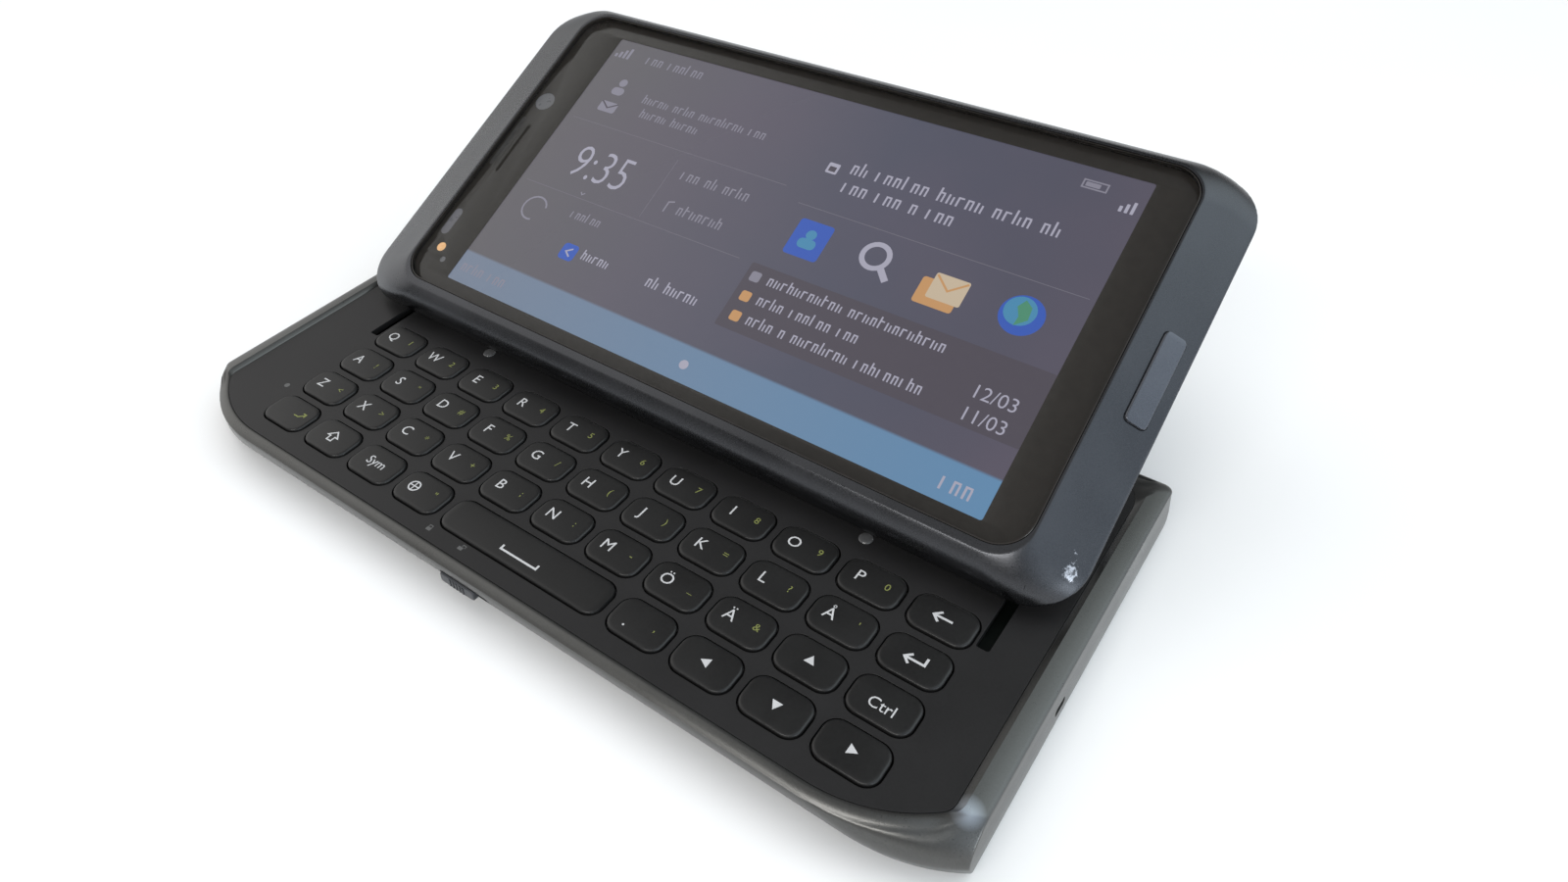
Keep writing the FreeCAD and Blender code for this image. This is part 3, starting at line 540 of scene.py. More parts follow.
def capTree(material):
    tree, given = startTree("cap_" + material.name, ("Width", "Depth", "Height", "Corner", "Edge", "Crown"))

    def calc(operation, *values):
        return maths(tree, operation, *values)

    def square(value):
        return calc("MULTIPLY", value, value)

    def position():
        return node(tree, "ShaderNodeSeparateXYZ", {0: node(tree, "GeometryNodeInputPosition")}).outputs

    # a grid from -1 to 1, its lines drawn closer together towards the edges, with its square corners pulled round
    grid = node(tree, "GeometryNodeMeshGrid", {"Size X": 2.0, "Size Y": 2.0, "Vertices X": 25, "Vertices Y": 19})
    at = position()
    half, past, side, inner = {}, {}, {}, {}
    for axis, size in (("X", "Width"), ("Y", "Depth")):
        half[axis] = calc("MULTIPLY", given[size], 0.5)
        flat = calc("MULTIPLY", calc("SINE", calc("MULTIPLY", at[axis], math.pi / 2)), half[axis])
        reach = calc("SUBTRACT", half[axis], given["Corner"])
        out = calc("ABSOLUTE", flat)
        past[axis] = calc("MAXIMUM", calc("SUBTRACT", out, reach), 0.0)
        side[axis] = calc("SIGN", flat)
        inner[axis] = calc("MINIMUM", out, reach)
    longest = calc("MAXIMUM", past["X"], past["Y"])
    length = calc("SQRT", calc("ADD", square(past["X"]), square(past["Y"])))
    pull = calc("DIVIDE", longest, calc("MAXIMUM", length, 1e-9))
    planned = node(tree, "ShaderNodeCombineXYZ", {axis: calc("MULTIPLY", calc("ADD", inner[axis], calc(
        "MULTIPLY", past[axis], pull)), side[axis]) for axis in ("X", "Y")})
    # every point keeps how far it stands from the border, for the rounded edge
    stored = node(tree, "GeometryNodeStoreNamedAttribute", {
        "Geometry": grid, "Name": "border", "Value": calc("SUBTRACT", given["Corner"], longest)},
        data_type="FLOAT", domain="POINT")
    plan = node(tree, "GeometryNodeSetPosition", {"Geometry": stored, "Position": planned})
    raised = node(tree, "GeometryNodeExtrudeMesh", {"Mesh": plan, "Offset": (0, 0, 1), "Individual": False,
                                                    "Offset Scale": given["Height"]}, mode="FACES")
    border = node(tree, "GeometryNodeInputNamedAttribute", {"Name": "border"}, data_type="FLOAT").outputs["Attribute"]
    short = calc("MAXIMUM", calc("SUBTRACT", given["Edge"], border), 0.0)
    drop = calc("SUBTRACT", given["Edge"], calc("SQRT", calc("MAXIMUM", calc(
        "SUBTRACT", square(given["Edge"]), square(short)), 0.0)))
    here = position()
    bows = [calc("MULTIPLY", square(calc("DIVIDE", here[axis], half[axis])), 0.5) for axis in ("X", "Y")]
    bow = calc("MULTIPLY", given["Crown"], calc("ADD", *bows))
    down = node(tree, "ShaderNodeCombineXYZ", {"Z": calc("MULTIPLY", calc("ADD", drop, bow), -1.0)})
    isTop = calc("GREATER_THAN", here["Z"], calc("MULTIPLY", given["Height"], 0.5))
    shaped = node(tree, "GeometryNodeSetPosition", {"Geometry": raised, "Selection": isTop, "Offset": down})
    both = node(tree, "GeometryNodeJoinGeometry", {0: [shaped, node(tree, "GeometryNodeFlipFaces", {"Mesh": plan})]})
    merged = node(tree, "GeometryNodeMergeByDistance", {"Geometry": both, "Distance": 1e-7})
    return endTree(tree, node(tree, "GeometryNodeRemoveAttribute", {"Geometry": merged, "Name": "border"}), material)


def repeatTree(tree, given, shape, material):
    placed = node(tree, "GeometryNodeInstanceOnPoints", {"Points": given["Geometry"], "Instance": shape})
    return endTree(tree, placed, material)


def studTree(name, material, recessed=False):
    # a round stud on every point, with or without a hexagon recess
    tree, given = startTree(name, ("Radius", "Height", "Recess"), onPoints=True)

    def cylinder(sides, radius):
        return node(tree, "GeometryNodeMeshCylinder", {"Vertices": sides, "Radius": given[radius],
                                                       "Depth": given["Height"]})

    shape = cylinder(20, "Radius")
    if recessed:
        rise = node(tree, "ShaderNodeCombineXYZ", {"Z": maths(tree, "MULTIPLY", given["Height"], 0.45)})
        raised = node(tree, "GeometryNodeSetPosition", {"Geometry": cylinder(6, "Recess"), "Offset": rise})
        shape = node(tree, "GeometryNodeMeshBoolean", {"Mesh 1": shape, "Mesh 2": raised}, operation="DIFFERENCE")
    return repeatTree(tree, given, shape, material)


def ribTree(material):
    tree, given = startTree("ribs", ("Length", "Depth", "Height"), onPoints=True)
    size = node(tree, "ShaderNodeCombineXYZ", {"X": given["Length"], "Y": given["Depth"], "Z": given["Height"]})
    return repeatTree(tree, given, node(tree, "GeometryNodeMeshCube", {"Size": size}), material)


def grown(tree, place=Matrix(), points=(), **sizes):
    # the mesh that a tree makes, on points where it takes them
    holder = linkPiece("holder", meshOf(points, []))
    live = configure(holder.modifiers.new("grow", "NODES"), node_group=tree)
    sockets = {item.name: item.identifier for item in tree.interface.items_tree if item.in_out == "INPUT"}
    for label, value in sizes.items():
        live[sockets[label]] = value * mm
    mesh = settle(holder)
    mesh.materials.clear()
    return moved(mesh, place)


# keyboard

keyboard = {
    "pitchX": 9.1, "pitchY": 6.65, "centreX": 2.0, "firstRowY": -4.3, "gap": 0.2,
    "width": 7.8, "bottom": 6.25, "top": 7.3,
    "cap": {"Depth": 5.3, "Height": 1.05, "Corner": 1.8, "Edge": 0.28, "Crown": 0.16},
    "letter": 2.3, "letterX": -1.6, "word": 0.86, "second": 1.45, "secondX": 1.9, "secondY": 0.25,
    "ink": 0.012, "inkThick": 0.03, "triangle": 0.75,
    # a sign that sits below the middle, and the two whose place is their own
    "drop": {".": -0.75, "@space": -0.9, "Ctrl": -0.55}, "ringX": -1.6, "fnX": 1.6,
}


def letterKeys(letters, seconds):
    return [("key_" + letter.lower(), letter, second) for letter, second in zip(letters, seconds)]


keyRows = [
    # node, sign, second sign
    letterKeys("QWERTYUIOP", "1234567890") + [("key_backspace", "@back", "")],
    letterKeys("ASDFGHJKL", "!\"#%/()=?") + [("key_a_ring", "Å", "'"), ("key_enter", "@enter", "")],
    letterKeys("ZXCVBNM", "<>*+;:-") + [("key_o_umlaut", "Ö", "_"), ("key_a_umlaut", "Ä", "&"), ("key_up", "@up", ""),
                                        ("key_control", "Ctrl", "")],
    [("key_function", "", "@fn"), ("key_shift", "@shift", ""), ("key_symbols", "Sym", ""),
     ("key_character", "@ring", "\""), ("key_space", "@space", ""), None, None, ("key_period", ".", ","),
     ("key_left", "@left", ""), ("key_down", "@down", ""), ("key_right", "@right", "")],
]
signs = {
    # lines of points, the width of the line, and whether it is closed
    "@back": [([(1.15, 0), (-1.0, 0)], 0.3, False), ([(-0.35, 0.75), (-1.15, 0), (-0.35, -0.75)], 0.3, False)],
    "@enter": [([(1.25, 0.85), (1.25, -0.2), (-1.0, -0.2)], 0.3, False),
               ([(-0.4, 0.5), (-1.15, -0.2), (-0.4, -0.9)], 0.3, False)],
    "@shift": [([(0, 0.95), (0.95, 0), (0.42, 0), (0.42, -0.8), (-0.42, -0.8), (-0.42, 0), (-0.95, 0)], 0.2, True)],
    "@space": [([(-2.9, 0.35), (-2.9, -0.3), (2.9, -0.3), (2.9, 0.35)], 0.28, False)],
    "@fn": [([(-0.8, -0.45), (0.0, -0.45), (0.75, 0.3)], 0.2, False),
            ([(0.2, 0.42), (0.82, 0.42), (0.82, -0.15)], 0.2, False)],
    "@ring": [(circle(0, 0, 0.8, 16), 0.2, True), ([(-0.8, 0), (0.8, 0)], 0.16, False),
              ([(0, -0.8), (0, 0.8)], 0.16, False)],
}
triangles = {"@right": 0, "@up": 90, "@left": 180, "@down": 270}


def signMesh(text, size):
    if text in signs:
        return joinMeshes([stroke(points, width, closed=closed) for points, width, closed in signs[text]])
    if text in triangles:
        turns = [math.radians(triangles[text] + turn) for turn in (0, 120, 240)]
        return prism([(keyboard["triangle"] * math.cos(turn), keyboard["triangle"] * math.sin(turn))
                      for turn in turns], -0.015, 0.015)
    return writing(text, size, keyboard["inkThick"])


def legendOn(text, size, x, y, width, depth):
    # ink that follows a cap's crowned top, its heights counted from the middle of that top
    mesh = moved(signMesh(text, size), shift(x, y, 0))
    for vertex in mesh.vertices:
        lift = keyboard["ink"] - (0 if vertex.co.z > 0 else keyboard["inkThick"])
        across, along = vertex.co.x / mm / (width / 2), vertex.co.y / mm / (depth / 2)
        vertex.co.z = (lift - keyboard["cap"]["Crown"] * 0.5 * (across ** 2 + along ** 2)) * mm
    return mesh


keyTree = capTree(finishes["keys"])
keyHoles = []
for row, keys in enumerate(keyRows):
    for column, entry in enumerate(keys):
        if entry is None:
            continue
        nodeName, main, second = entry
        more = 2 if nodeName == "key_space" else 0
        width, depth = keyboard["width"] + more * keyboard["pitchX"], keyboard["cap"]["Depth"]
        cx = keyboard["centreX"] + (column + more / 2 - 5) * keyboard["pitchX"]
        cy = keyboard["firstRowY"] - row * keyboard["pitchY"]
        top = shift(cx, cy, keyboard["top"])
        cap = grown(keyTree, shift(cx, cy, keyboard["bottom"]), Width=width, **keyboard["cap"])
        mains, seconds = [], []
        if main:
            isWord = main in ("Sym", "Ctrl")
            size = keyboard["letter"] * (keyboard["word"] if isWord else 1)
            x = 0 if isWord or main.startswith("@") else keyboard["letterX"]
            mains.append(moved(legendOn(main, size, keyboard["ringX"] if main == "@ring" else x,
                                        keyboard["drop"].get(main, 0), width, depth), top))
        if second:
            x = keyboard["fnX"] if second == "@fn" else keyboard["secondX"]
            seconds.append(moved(legendOn(second, keyboard["second"], x, keyboard["secondY"], width, depth), top))
        addPiece(nodeName + "_cap", joinMeshes([cap], mains, seconds), ["keys", "legend", "altLegend"], nodeName,
                 nodeName, angle=50)
        halfX, halfY = width / 2 + keyboard["gap"], depth / 2 + keyboard["gap"]
        keyHoles.append(roundedOutline(cx - halfX, cx + halfX, cy - halfY, cy + halfY,
                                       keyboard["cap"]["Corner"] + keyboard["gap"])[::-1])
print("keys ready")

# outline of the base, which the deck shares

shell = {
    "cavity": (58.25, 28.2, 28.2), "liftStart": 58.45, "liftEnd": 59.25, "lift": 0.4,
    # height, half length, half width in front and behind, where the front begins to curve back on the left and on
    # the right; then, where they aren't as usual, the curve's radius, the back corner, how much of the front's point
    # is rounded and the share of the lift
    "usual": (20.4, 1.1, 0.2, 0),
    "outside": [
        (0.0, 61.2, 27.6, 29.4, 48.5, 50.5), (0.05, 61.4, 27.85, 29.65, 48.5, 50.5),
        (0.3, 61.72, 28.2, 30.1, 48.5, 50.5), (0.6, 61.88, 28.55, 30.45, 48.5, 50.5),
        (0.9, 61.95, 28.87, 30.7, 48.5, 50.4), (1.5, 62.0, 29.35, 30.95, 48.5, 50.3),
        (2.1, 62.0, 29.68, 31.1, 48.3, 50.2), (2.8, 61.97, 30.05, 31.18, 47.3, 50.1),
        (3.3, 61.94, 30.28, 31.2, 46.4, 50.0), (3.6, 61.91, 30.42, 31.2, 46.0, 49.8),
        (4.2, 61.87, 30.64, 31.18, 45.5, 49.3, 20.4, 1.15, 0.2, 0),
        (4.9, 61.81, 30.88, 31.14, 45.1, 48.4, 20.4, 1.2, 0.2, 0),
        (5.6, 61.76, 31.05, 31.1, 45.05, 47.0, 20.4, 1.2, 0.25, 0.1),
        (6.1, 61.71, 31.1, 31.1, 45.05, 46.0, 20.4, 1.2, 0.3, 0.55),
        (6.3, 61.68, 31.06, 31.06, 45.05, 45.3, 20.4, 1.2, 0.35, 0.9),
        (6.36, 61.6, 30.98, 30.98, 45.05, 45.1, 20.4, 1.25, 0.4, 1),
        (6.5, 61.2, 30.82, 30.82, 45.05, 45.05, 20.3, 1.35, 0.5, 1),
        (6.64, 60.7, 30.6, 30.6, 45.05, 45.05, 20.1, 1.6, 0.6, 1),
        (6.78, 60.1, 30.34, 30.34, 45.05, 45.05, 19.8, 2.0, 0.7, 1),
        (6.9, 59.4, 30.0, 30.0, 45.05, 45.05, 19.4, 3.2, 0.8, 1),
        (6.88, 58.72, 29.7, 29.7, 45.05, 45.05, 19.1, 5.0, 0.9, 1),
        (6.84, 58.62, 29.62, 29.62, 45.05, 45.05, 19.0, 5.1, 0.9, 1),
        (6.6, 58.6, 29.6, 29.6, 45.05, 45.05, 19.0, 5.1, 0.9, 0.8),
        (5.9, 58.6, 29.6, 29.6, 45.05, 45.05, 19.0, 5.1, 0.9, 0)],
    # height, how far it is tucked in, the curve's start on the left and right, its radius
    "inside": [(5.9, 0, 45.05, 45.05, 18.4), (1.1, 0, 48.5, 50.0, 19.0), (0.9, 0.2, 48.5, 50.0, 19.0)],
    "insideCorner": (4.0, 0.9, 0),
}


def baseOutline(halfX, front, rear, leftStart, rightStart, radius, back, cut, steps=12):
    # counterclockwise from the right end's back corner; in front the long side curves back and meets the flat ends
    points = []
    turns = [math.pi / 2 * i / steps for i in range(steps + 1)]
    corner = [(halfX - back + back * math.cos(turn), rear - back + back * math.sin(turn)) for turn in turns]
    points += corner + [(-x, y) for x, y in corner[::-1]]
    for side, start in ((-1, leftStart), (1, rightStart)):
        whole = math.asin((halfX - start) / radius)
        first = whole - cut / radius
        tip, after = [Vector((start + radius * math.sin(turn), front - radius * (1 - math.cos(turn))))
                      for turn in (whole, first)]
        before = tip - Vector((0, cut))
        along = [before * (1 - t) ** 2 + tip * 2 * t * (1 - t) + after * t * t for t in (0, 0.25, 0.5, 0.75)]
        for i in range(steps + 1):
            turn = first * (1 - i / steps)
            along.append(Vector((start + radius * math.sin(turn), front - radius * (1 - math.cos(turn)))))
        along = [(v.x * side, -v.y) for v in along]
        points += along if side < 0 else along[::-1]
    return points


def shellRing(z, *outline):
    ring = []
    for x, y in baseOutline(*outline[:-1]):
        t = min(1, max(0, (abs(x) - shell["liftStart"]) / (shell["liftEnd"] - shell["liftStart"])))
        ring.append((x, y, z + shell["lift"] * outline[-1] * t * t * (3 - 2 * t)))
    return ring


# keyboard deck, with two small bumpers, two tiny padlocks, shut and open, and a faint round spot by the function key

deck = {
    # half length, half width in front and behind, the front curve's starts and radius, back corner, rounded point
    "outline": (58.57, 29.57, 29.57, 45.05, 45.05, 18.97, 5.07, 0.9), "bottom": 5.9, "top": 6.9, "edge": 0.04,
    "slotX": 0.8, "slotY": (-5.3, 28.3), "slotCorner": 0.3,
    "pads": ((34.3, 1.4), (-30.3, 1.4)), "pad": [(0.9, 6.7), (0.9, 6.96), (0.82, 7.04), (0.62, 7.09), (0.3, 7.105)],
    "mark": (6.88, 6.908), "spot": (-49.5, -20.75, 0.42), "locks": ((-10.95, 0.0), (-5.3, 0.28)),
    "lockHalf": 0.36, "lockY": (-28.35, -27.85), "bow": 0.24, "bowY": (-27.87, -27.5), "bowWidth": 0.11,
}
railSlots = [roundedOutline(x - deck["slotX"], x + deck["slotX"], *deck["slotY"], deck["slotCorner"], 3)[::-1]
             for x in places["railX"]]
deckMesh = plateWithHoles(baseOutline(*deck["outline"]), keyHoles + railSlots, deck["bottom"], deck["top"],
                          deck["edge"])
pads = [turned(deck["pad"], 32, shift(x, y, 0)) for x, y in deck["pads"]]
marks = [prism(circle(*deck["spot"], 18), *deck["mark"])]
for x, lean in deck["locks"]:
    low, high = deck["bowY"]
    left, right = x - deck["bow"] + lean, x + deck["bow"] + lean
    marks.append(block((x - deck["lockHalf"], x + deck["lockHalf"]), deck["lockY"], deck["mark"]))
    marks.append(stroke([(left, low + lean / 3), (left, high), (right, high), (right, low)], deck["bowWidth"],
                        *deck["mark"]))
addPiece("deckPlate", joinMeshes([deckMesh], pads, marks), ["deck", "pad", "mark"], "base", "keyboard_deck",
         angle=12)
print("deck ready")

# base shell

beyond = 3  # how far a cutter stands out of the surface that it cuts
seats = [
    # width, height and corner of a slot, or radius and sides of a hole; depth, middle and side
    ((8.2, 1.9, 0.4), 2.2, (-2.6, -31.2, 3.8, "front")),       # lock slider
    ((14.7, 1.9, 0.4), 2.2, (16, 31.2, 3.8, "rear")),          # volume slider
    ((9.3, 1.9, 0.4), 2.2, (44.5, 31.2, 3.8, "rear")),         # camera key
    ((7.3, 1.9, 0.4), 2.2, (-61.85, -8.5, 3.8, "left")),       # power key
    ((17.16, 1.36, 0.3), 28, (30.5, -31.2, 2.8, "front")),     # SIM tray
    ((2.4, 32), 4, (-61.85, -22, 3.5, "left")),                # headphone jack
    ((7.4, 2.2, 0.5), 4, (-61.85, 19, 3.5, "left")),           # micro-USB socket
    ((3.4, 40), 2, (-50, 6, 0, "under")),                      # rear camera
    ((3.4, 1.7, 0.8), 0.5, (-42.5, 6, 0, "under")),            # flash
    ((2.6, 1.0, 0.35), 0.7, (62.0, -4.7, 3.4, "right")),       # slit in the right end
]
speaker = {"columns": 9, "rows": 2, "pitch": 1.15, "middle": (-38.0, -20.0, 0.6),
           "hole": {"Radius": 0.36, "Height": 2.2}}
underScrews = {"at": ((54.5, 23.0), (54.5, -23.0), (-54.5, -25.0)), "seat": 1.25, "deep": 0.55, "z": -0.33,
               "head": {"Radius": 1.15, "Height": 0.44, "Recess": 0.5}}
under = sideFace(0, 0, 0, "under")
rings = [shellRing(*(row if len(row) > 6 else row + shell["usual"])) for row in shell["outside"]]
for z, tuck, *curve in shell["inside"]:
    rings.append(shellRing(z, *[v - tuck for v in shell["cavity"]], *curve, *shell["insideCorner"]))
seats += [((underScrews["seat"], 24), underScrews["deep"], (x, y, 0, "under")) for x, y in underScrews["at"]]
seatCutters = [prism(plate(*size) if len(size) > 2 else circle(0, 0, *size), -deep, beyond, sideFace(*at))
               for size, deep, at in seats]
cx, cy, cz = speaker["middle"]
holes = [(cx + (i - (speaker["columns"] - 1) / 2) * speaker["pitch"],
          cy + (j - (speaker["rows"] - 1) / 2) * speaker["pitch"], cz)
         for i in range(speaker["columns"]) for j in range(speaker["rows"])]
seatCutters.append(grown(studTree("perforations", finishes["cavity"]), under, holes, **speaker["hole"]))
addPiece("baseShell", carve(loft(rings), seatCutters), ["shell"], "base", "base_shell", angle=32)
print("base shell ready")

screwTree = studTree("screwHeads", finishes["darkSteel"], recessed=True)


def screwHeads(screws, place):
    return grown(screwTree, place, [(x, -y, screws["z"]) for x, y in screws["at"]], **screws["head"])


addPiece("undersideScrews", screwHeads(underScrews, under), ["darkSteel"], "base")

rearCamera = {
    "at": (-50.0, 6.0, 0), "flashAt": (-42.5, 6.0, 0), "flash": (3.28, 1.58, 0.74, 6), "flashZ": (-0.49, -0.12),
    "trim": [(3.36, -0.85), (3.36, -0.16), (3.24, -0.06), (2.86, -0.06), (2.7, -0.14), (2.64, -0.5)],
    "ring": [(2.6, -0.49), (2.6, -0.3), (1.75, -0.42), (1.75, -0.49)],
    "lens": [(1.7, -0.49), (1.7, -0.42), (1.3, -0.33), (0.8, -0.27), (0.35, -0.245)],
}
cameraPlace = sideFace(*rearCamera["at"], "under")
addPiece("rearCamera", joinMeshes(
    [turned(rearCamera["trim"], 40, cameraPlace)], [hoop(rearCamera["ring"], 40, cameraPlace)],
    [turned(rearCamera["lens"], 32, cameraPlace)],
    [prism(plate(*rearCamera["flash"]), *rearCamera["flashZ"], sideFace(*rearCamera["flashAt"], "under"))]),
    ["chrome", "cavity", "lens", "flash"], "base")

socket = {
    "at": (-61.85, 19.0, 3.5, "left"), "width": 7.32, "height": 2.12,
    # height, how far it is tucked in, corner
    "liner": ((-3.4, 0, 0.46), (-0.1, 0, 0.46), (-0.1, 0.16, 0.32), (-3.1, 0.16, 0.32)),
    "tongue": ((-1.9, 1.9), (-0.08, 0.42), (-3.2, -0.9)),
    "contacts": (-1.3, -0.65, 0, 0.65, 1.3), "contactHalf": 0.16, "contact": ((-0.16, -0.07), (-2.9, -1.2)),
}
socketPlace = sideFace(*socket["at"])
liner = loft([level(z, plate(socket["width"] - 2 * tuck, socket["height"] - 2 * tuck, corner))
              for z, tuck, corner in socket["liner"]], socketPlace)
contacts = [block((x - socket["contactHalf"], x + socket["contactHalf"]), *socket["contact"], socketPlace)
            for x in socket["contacts"]]
addPiece("chargeSocket", joinMeshes([liner], [block(*socket["tongue"], socketPlace)], contacts),
         ["darkSteel", "cavity", "gold"], "base")

# display frame

displayFrame = {
    # height, west end, east end, half width, corner
    "outside": [(0.0, 58.1, 58.1, 28.4, 5.9), (0.12, 58.35, 58.35, 28.95, 6.15), (0.4, 58.7, 58.7, 29.75, 6.5),
                (0.754, 58.98, 58.98, 30.42, 6.9), (1.2, 59.1, 59.1, 30.87, 7.0), (1.65, 59.17, 59.17, 31.1, 7.0),
                (2.0, 59.2, 59.2, 31.18, 7.0), (2.15, 59.08, 59.12, 31.2, 7.0), (2.3, 58.78, 58.86, 31.2, 6.95),
                (2.9, 57.4, 57.97, 31.17, 6.6), (3.6, 55.86, 56.76, 31.03, 6.2), (4.2, 54.5, 55.72, 30.75, 5.8),
                (4.75, 53.27, 54.85, 30.35, 5.5), (5.2, 52.3, 54.12, 29.88, 5.3), (5.6, 51.42, 53.5, 29.3, 5.05),
                (5.88, 50.85, 53.1, 28.8, 4.9), (6.03, 50.52, 52.86, 28.5, 4.8), (6.08, 50.4, 52.76, 28.36, 4.75),
                (6.1, 50.28, 52.66, 28.24, 4.7)],
    "top": 6.1, "farTuck": 0.4, "farTuckOver": 0.9,
    # west and east end, near and far side, corner
    "seat": (-50.05, 52.45, -27.25, 28.05, 4.55), "panel": (-43.05, 47.85, -26.15, 26.15, 1.15),
    "back": (-55.1, 55.1, -25.0, 25.0, 4.1),
    # height, outline, how far it is grown
    "underside": ((1.0, "back", 0), (0.08, "back", 0), (0.0, "back", 0.08)),
    "inside": ((6.08, "seat", 0.03), (6.0, "seat", 0), (5.17, "seat", 0), (5.17, "panel", 0), (3.47, "panel", 0)),
    "scuffAt": (57.2, -25.5, 2.9), "scuffMost": 1.2, "scuffReach": 2.3,
}
# the hinge channels, seen from the side, are round about the hinge and square behind it
hinge = {"radius": 1.7, "from": 243.8, "to": 28.07, "steps": 10, "half": 1.2,
         "start": [(-29.35, -1.0), (-29.35, 1.074)], "end": [(-27.1, 4.5), (7.4, 4.5), (7.4, -1.0)],
         "trackX": (1.1, 1.65), "trackY": (0.84, 6.25), "trackZ": (1.9, 3.3), "pin": 0.7, "pinHalf": 1.9}
menu = {"at": (56.6, -0.2, 3.7), "slope": (4.0, 6.5), "low": -0.6, "seat": (3.15, 12.95, 0.77), "seatLow": -1.2,
        "cap": {"Width": 3.0, "Depth": 12.8, "Height": 1.0, "Corner": 0.7, "Edge": 0.22, "Crown": 0.08}}


def frameRing(z, outline, grow):
    x0, x1, y0, y1, corner = displayFrame[outline]
    return level(z, roundedOutline(x0 - grow, x1 + grow, y0 - grow, y1 + grow, corner, 12))


frameRings = [frameRing(*row) for row in displayFrame["underside"]]
for z, west, east, half, corner in displayFrame["outside"]:
    far = half - displayFrame["farTuck"] * min(1, (displayFrame["top"] - z) / displayFrame["farTuckOver"])
    frameRings.append(level(z, roundedOutline(-west, east, -half, far, corner, 12)))
frameRings += [frameRing(*row) for row in displayFrame["inside"]]

menuPlace = shift(*menu["at"]) @ Matrix.Rotation(math.atan2(*menu["slope"]), 4, "Y")
hingeY, hingeZ = places["pivotInDisplay"][1:]
channel = list(hinge["start"])
for i in range(hinge["steps"] + 1):
    turn = math.radians(hinge["from"] - (hinge["from"] - hinge["to"]) * i / hinge["steps"])
    channel.append((hingeY + hinge["radius"] * math.cos(turn), hingeZ + hinge["radius"] * math.sin(turn)))
channel += hinge["end"]
sideways = Matrix(((0, 0, 1, 0), (1, 0, 0, 0), (0, 1, 0, 0), (0, 0, 0, 1)))
frameCuts = [prism(plate(*menu["seat"]), menu["seatLow"], beyond, menuPlace)]
innerCuts = []
for sign, x in zip((-1, 1), places["railX"]):
    frameCuts.append(prism(channel[::-1], -hinge["half"], hinge["half"], shift(x, 0, 0) @ sideways))
    innerCuts.append(block(sorted(x + sign * v for v in hinge["trackX"]), hinge["trackY"], hinge["trackZ"]))
    innerCuts.append(prism(circle(0, 0, hinge["pin"], 20), -hinge["pinHalf"], hinge["pinHalf"],
                           shift(x, hingeY, hingeZ) @ Matrix.Rotation(math.radians(90), 4, "Y")))
frameMesh = carve(carve(loft(frameRings), frameCuts), innerCuts)
scuff = [displayFrame["scuffMost"] - math.dist(v.co / mm, displayFrame["scuffAt"]) / displayFrame["scuffReach"]
         for v in frameMesh.vertices]
frameMesh.attributes.new("wear", "FLOAT", "POINT").data.foreach_set("value", [min(1.0, max(0.0, v)) for v in scuff])
addPiece("displayFrame", moved(frameMesh, displayPlace), ["frame"], "display", "display_frame", angle=32)
print("display frame ready")

# glass with a black edge, its black print, and what shows through it

glass = {"x": (-50.0, 52.4), "y": (-27.2, 28.0), "corner": 4.5,
         "levels": ((5.22, 0), (5.9, 0), (6.02, -0.03), (6.08, -0.1), (6.1, -0.22)),
         "print": (5.185, 5.205, 0.002), "earpiece": (-48.45, -47.75, -5.0, 5.0, 0.34, 5), "earpieceZ": (6.09, 6.106)}
screen = {"x": (-41.9, 46.7), "middle": 2.4, "y": (-24.9, 24.9)}
windows = {
    "z": (5.172, 5.183), "camera": (-47.5, 9.3), "cameraHole": 1.75,
    "cameraLens": [(1.7, 5.172), (1.7, 5.182), (1.15, 5.184), (0.9, 5.178), (0.6, 5.176)],
    "sensor": (-49.0, -47.4), "sensorHole": (-18.7, -13.7), "sensorPane": (-18.8, -13.6), "sensorCorner": 0.79,
    "amber": (-46.7, -20.8), "amberHole": 0.8, "dot": (-44.9, -22.6), "dotHole": 0.5, "overlap": 0.05,
}


def glassOutline(grow):
    (x0, x1), (y0, y1) = glass["x"], glass["y"]
    return roundedOutline(x0 - grow, x1 + grow, y0 - grow, y1 + grow, glass["corner"] + grow, 12)


paneMesh = loft([level(z, glassOutline(grow)) for z, grow in glass["levels"]], displayPlace)
paneUp = displayPlace.to_3x3() @ Vector((0, 0, 1))
for face in paneMesh.polygons:
    face.material_index = 0 if abs(face.normal.dot(paneUp)) > 0.99 else 1
addPiece("glassPane", paneMesh, ["glass", "black"], "display", "front_glass", angle=25)

printHoles = [roundedOutline(*screen["x"], *screen["y"], 0.3, 2),
              circle(*windows["camera"], windows["cameraHole"], 28),
              roundedOutline(*windows["sensor"], *windows["sensorHole"], windows["sensorCorner"], 6),
              circle(*windows["amber"], windows["amberHole"], 18), circle(*windows["dot"], windows["dotHole"], 14)]
printMesh = plateWithHoles(glassOutline(-0.1), [hole[::-1] for hole in printHoles], *glass["print"])
earSlot = prism(roundedOutline(*glass["earpiece"]), *glass["earpieceZ"])
addPiece("glassPrint", moved(joinMeshes([printMesh], [earSlot]), displayPlace), ["black", "cavity"], "display")
# the camera lens, sensor window and amber spot take finishes that glow as painted light
greys = [turned(windows["cameraLens"], 28, shift(*windows["camera"], 0)),
         prism(circle(*windows["dot"], windows["dotHole"] + windows["overlap"], 14), *windows["z"])]
sensorPane = prism(roundedOutline(*windows["sensor"], *windows["sensorPane"], windows["sensorCorner"], 6),
                   *windows["z"])
amberPane = prism(circle(*windows["amber"], windows["amberHole"] + windows["overlap"], 18), *windows["z"])
addPiece("sensorWindows", moved(joinMeshes(greys, [sensorPane], [amberPane]), displayPlace),
         ["cameraGrey", "sensor", "amber"], "display")

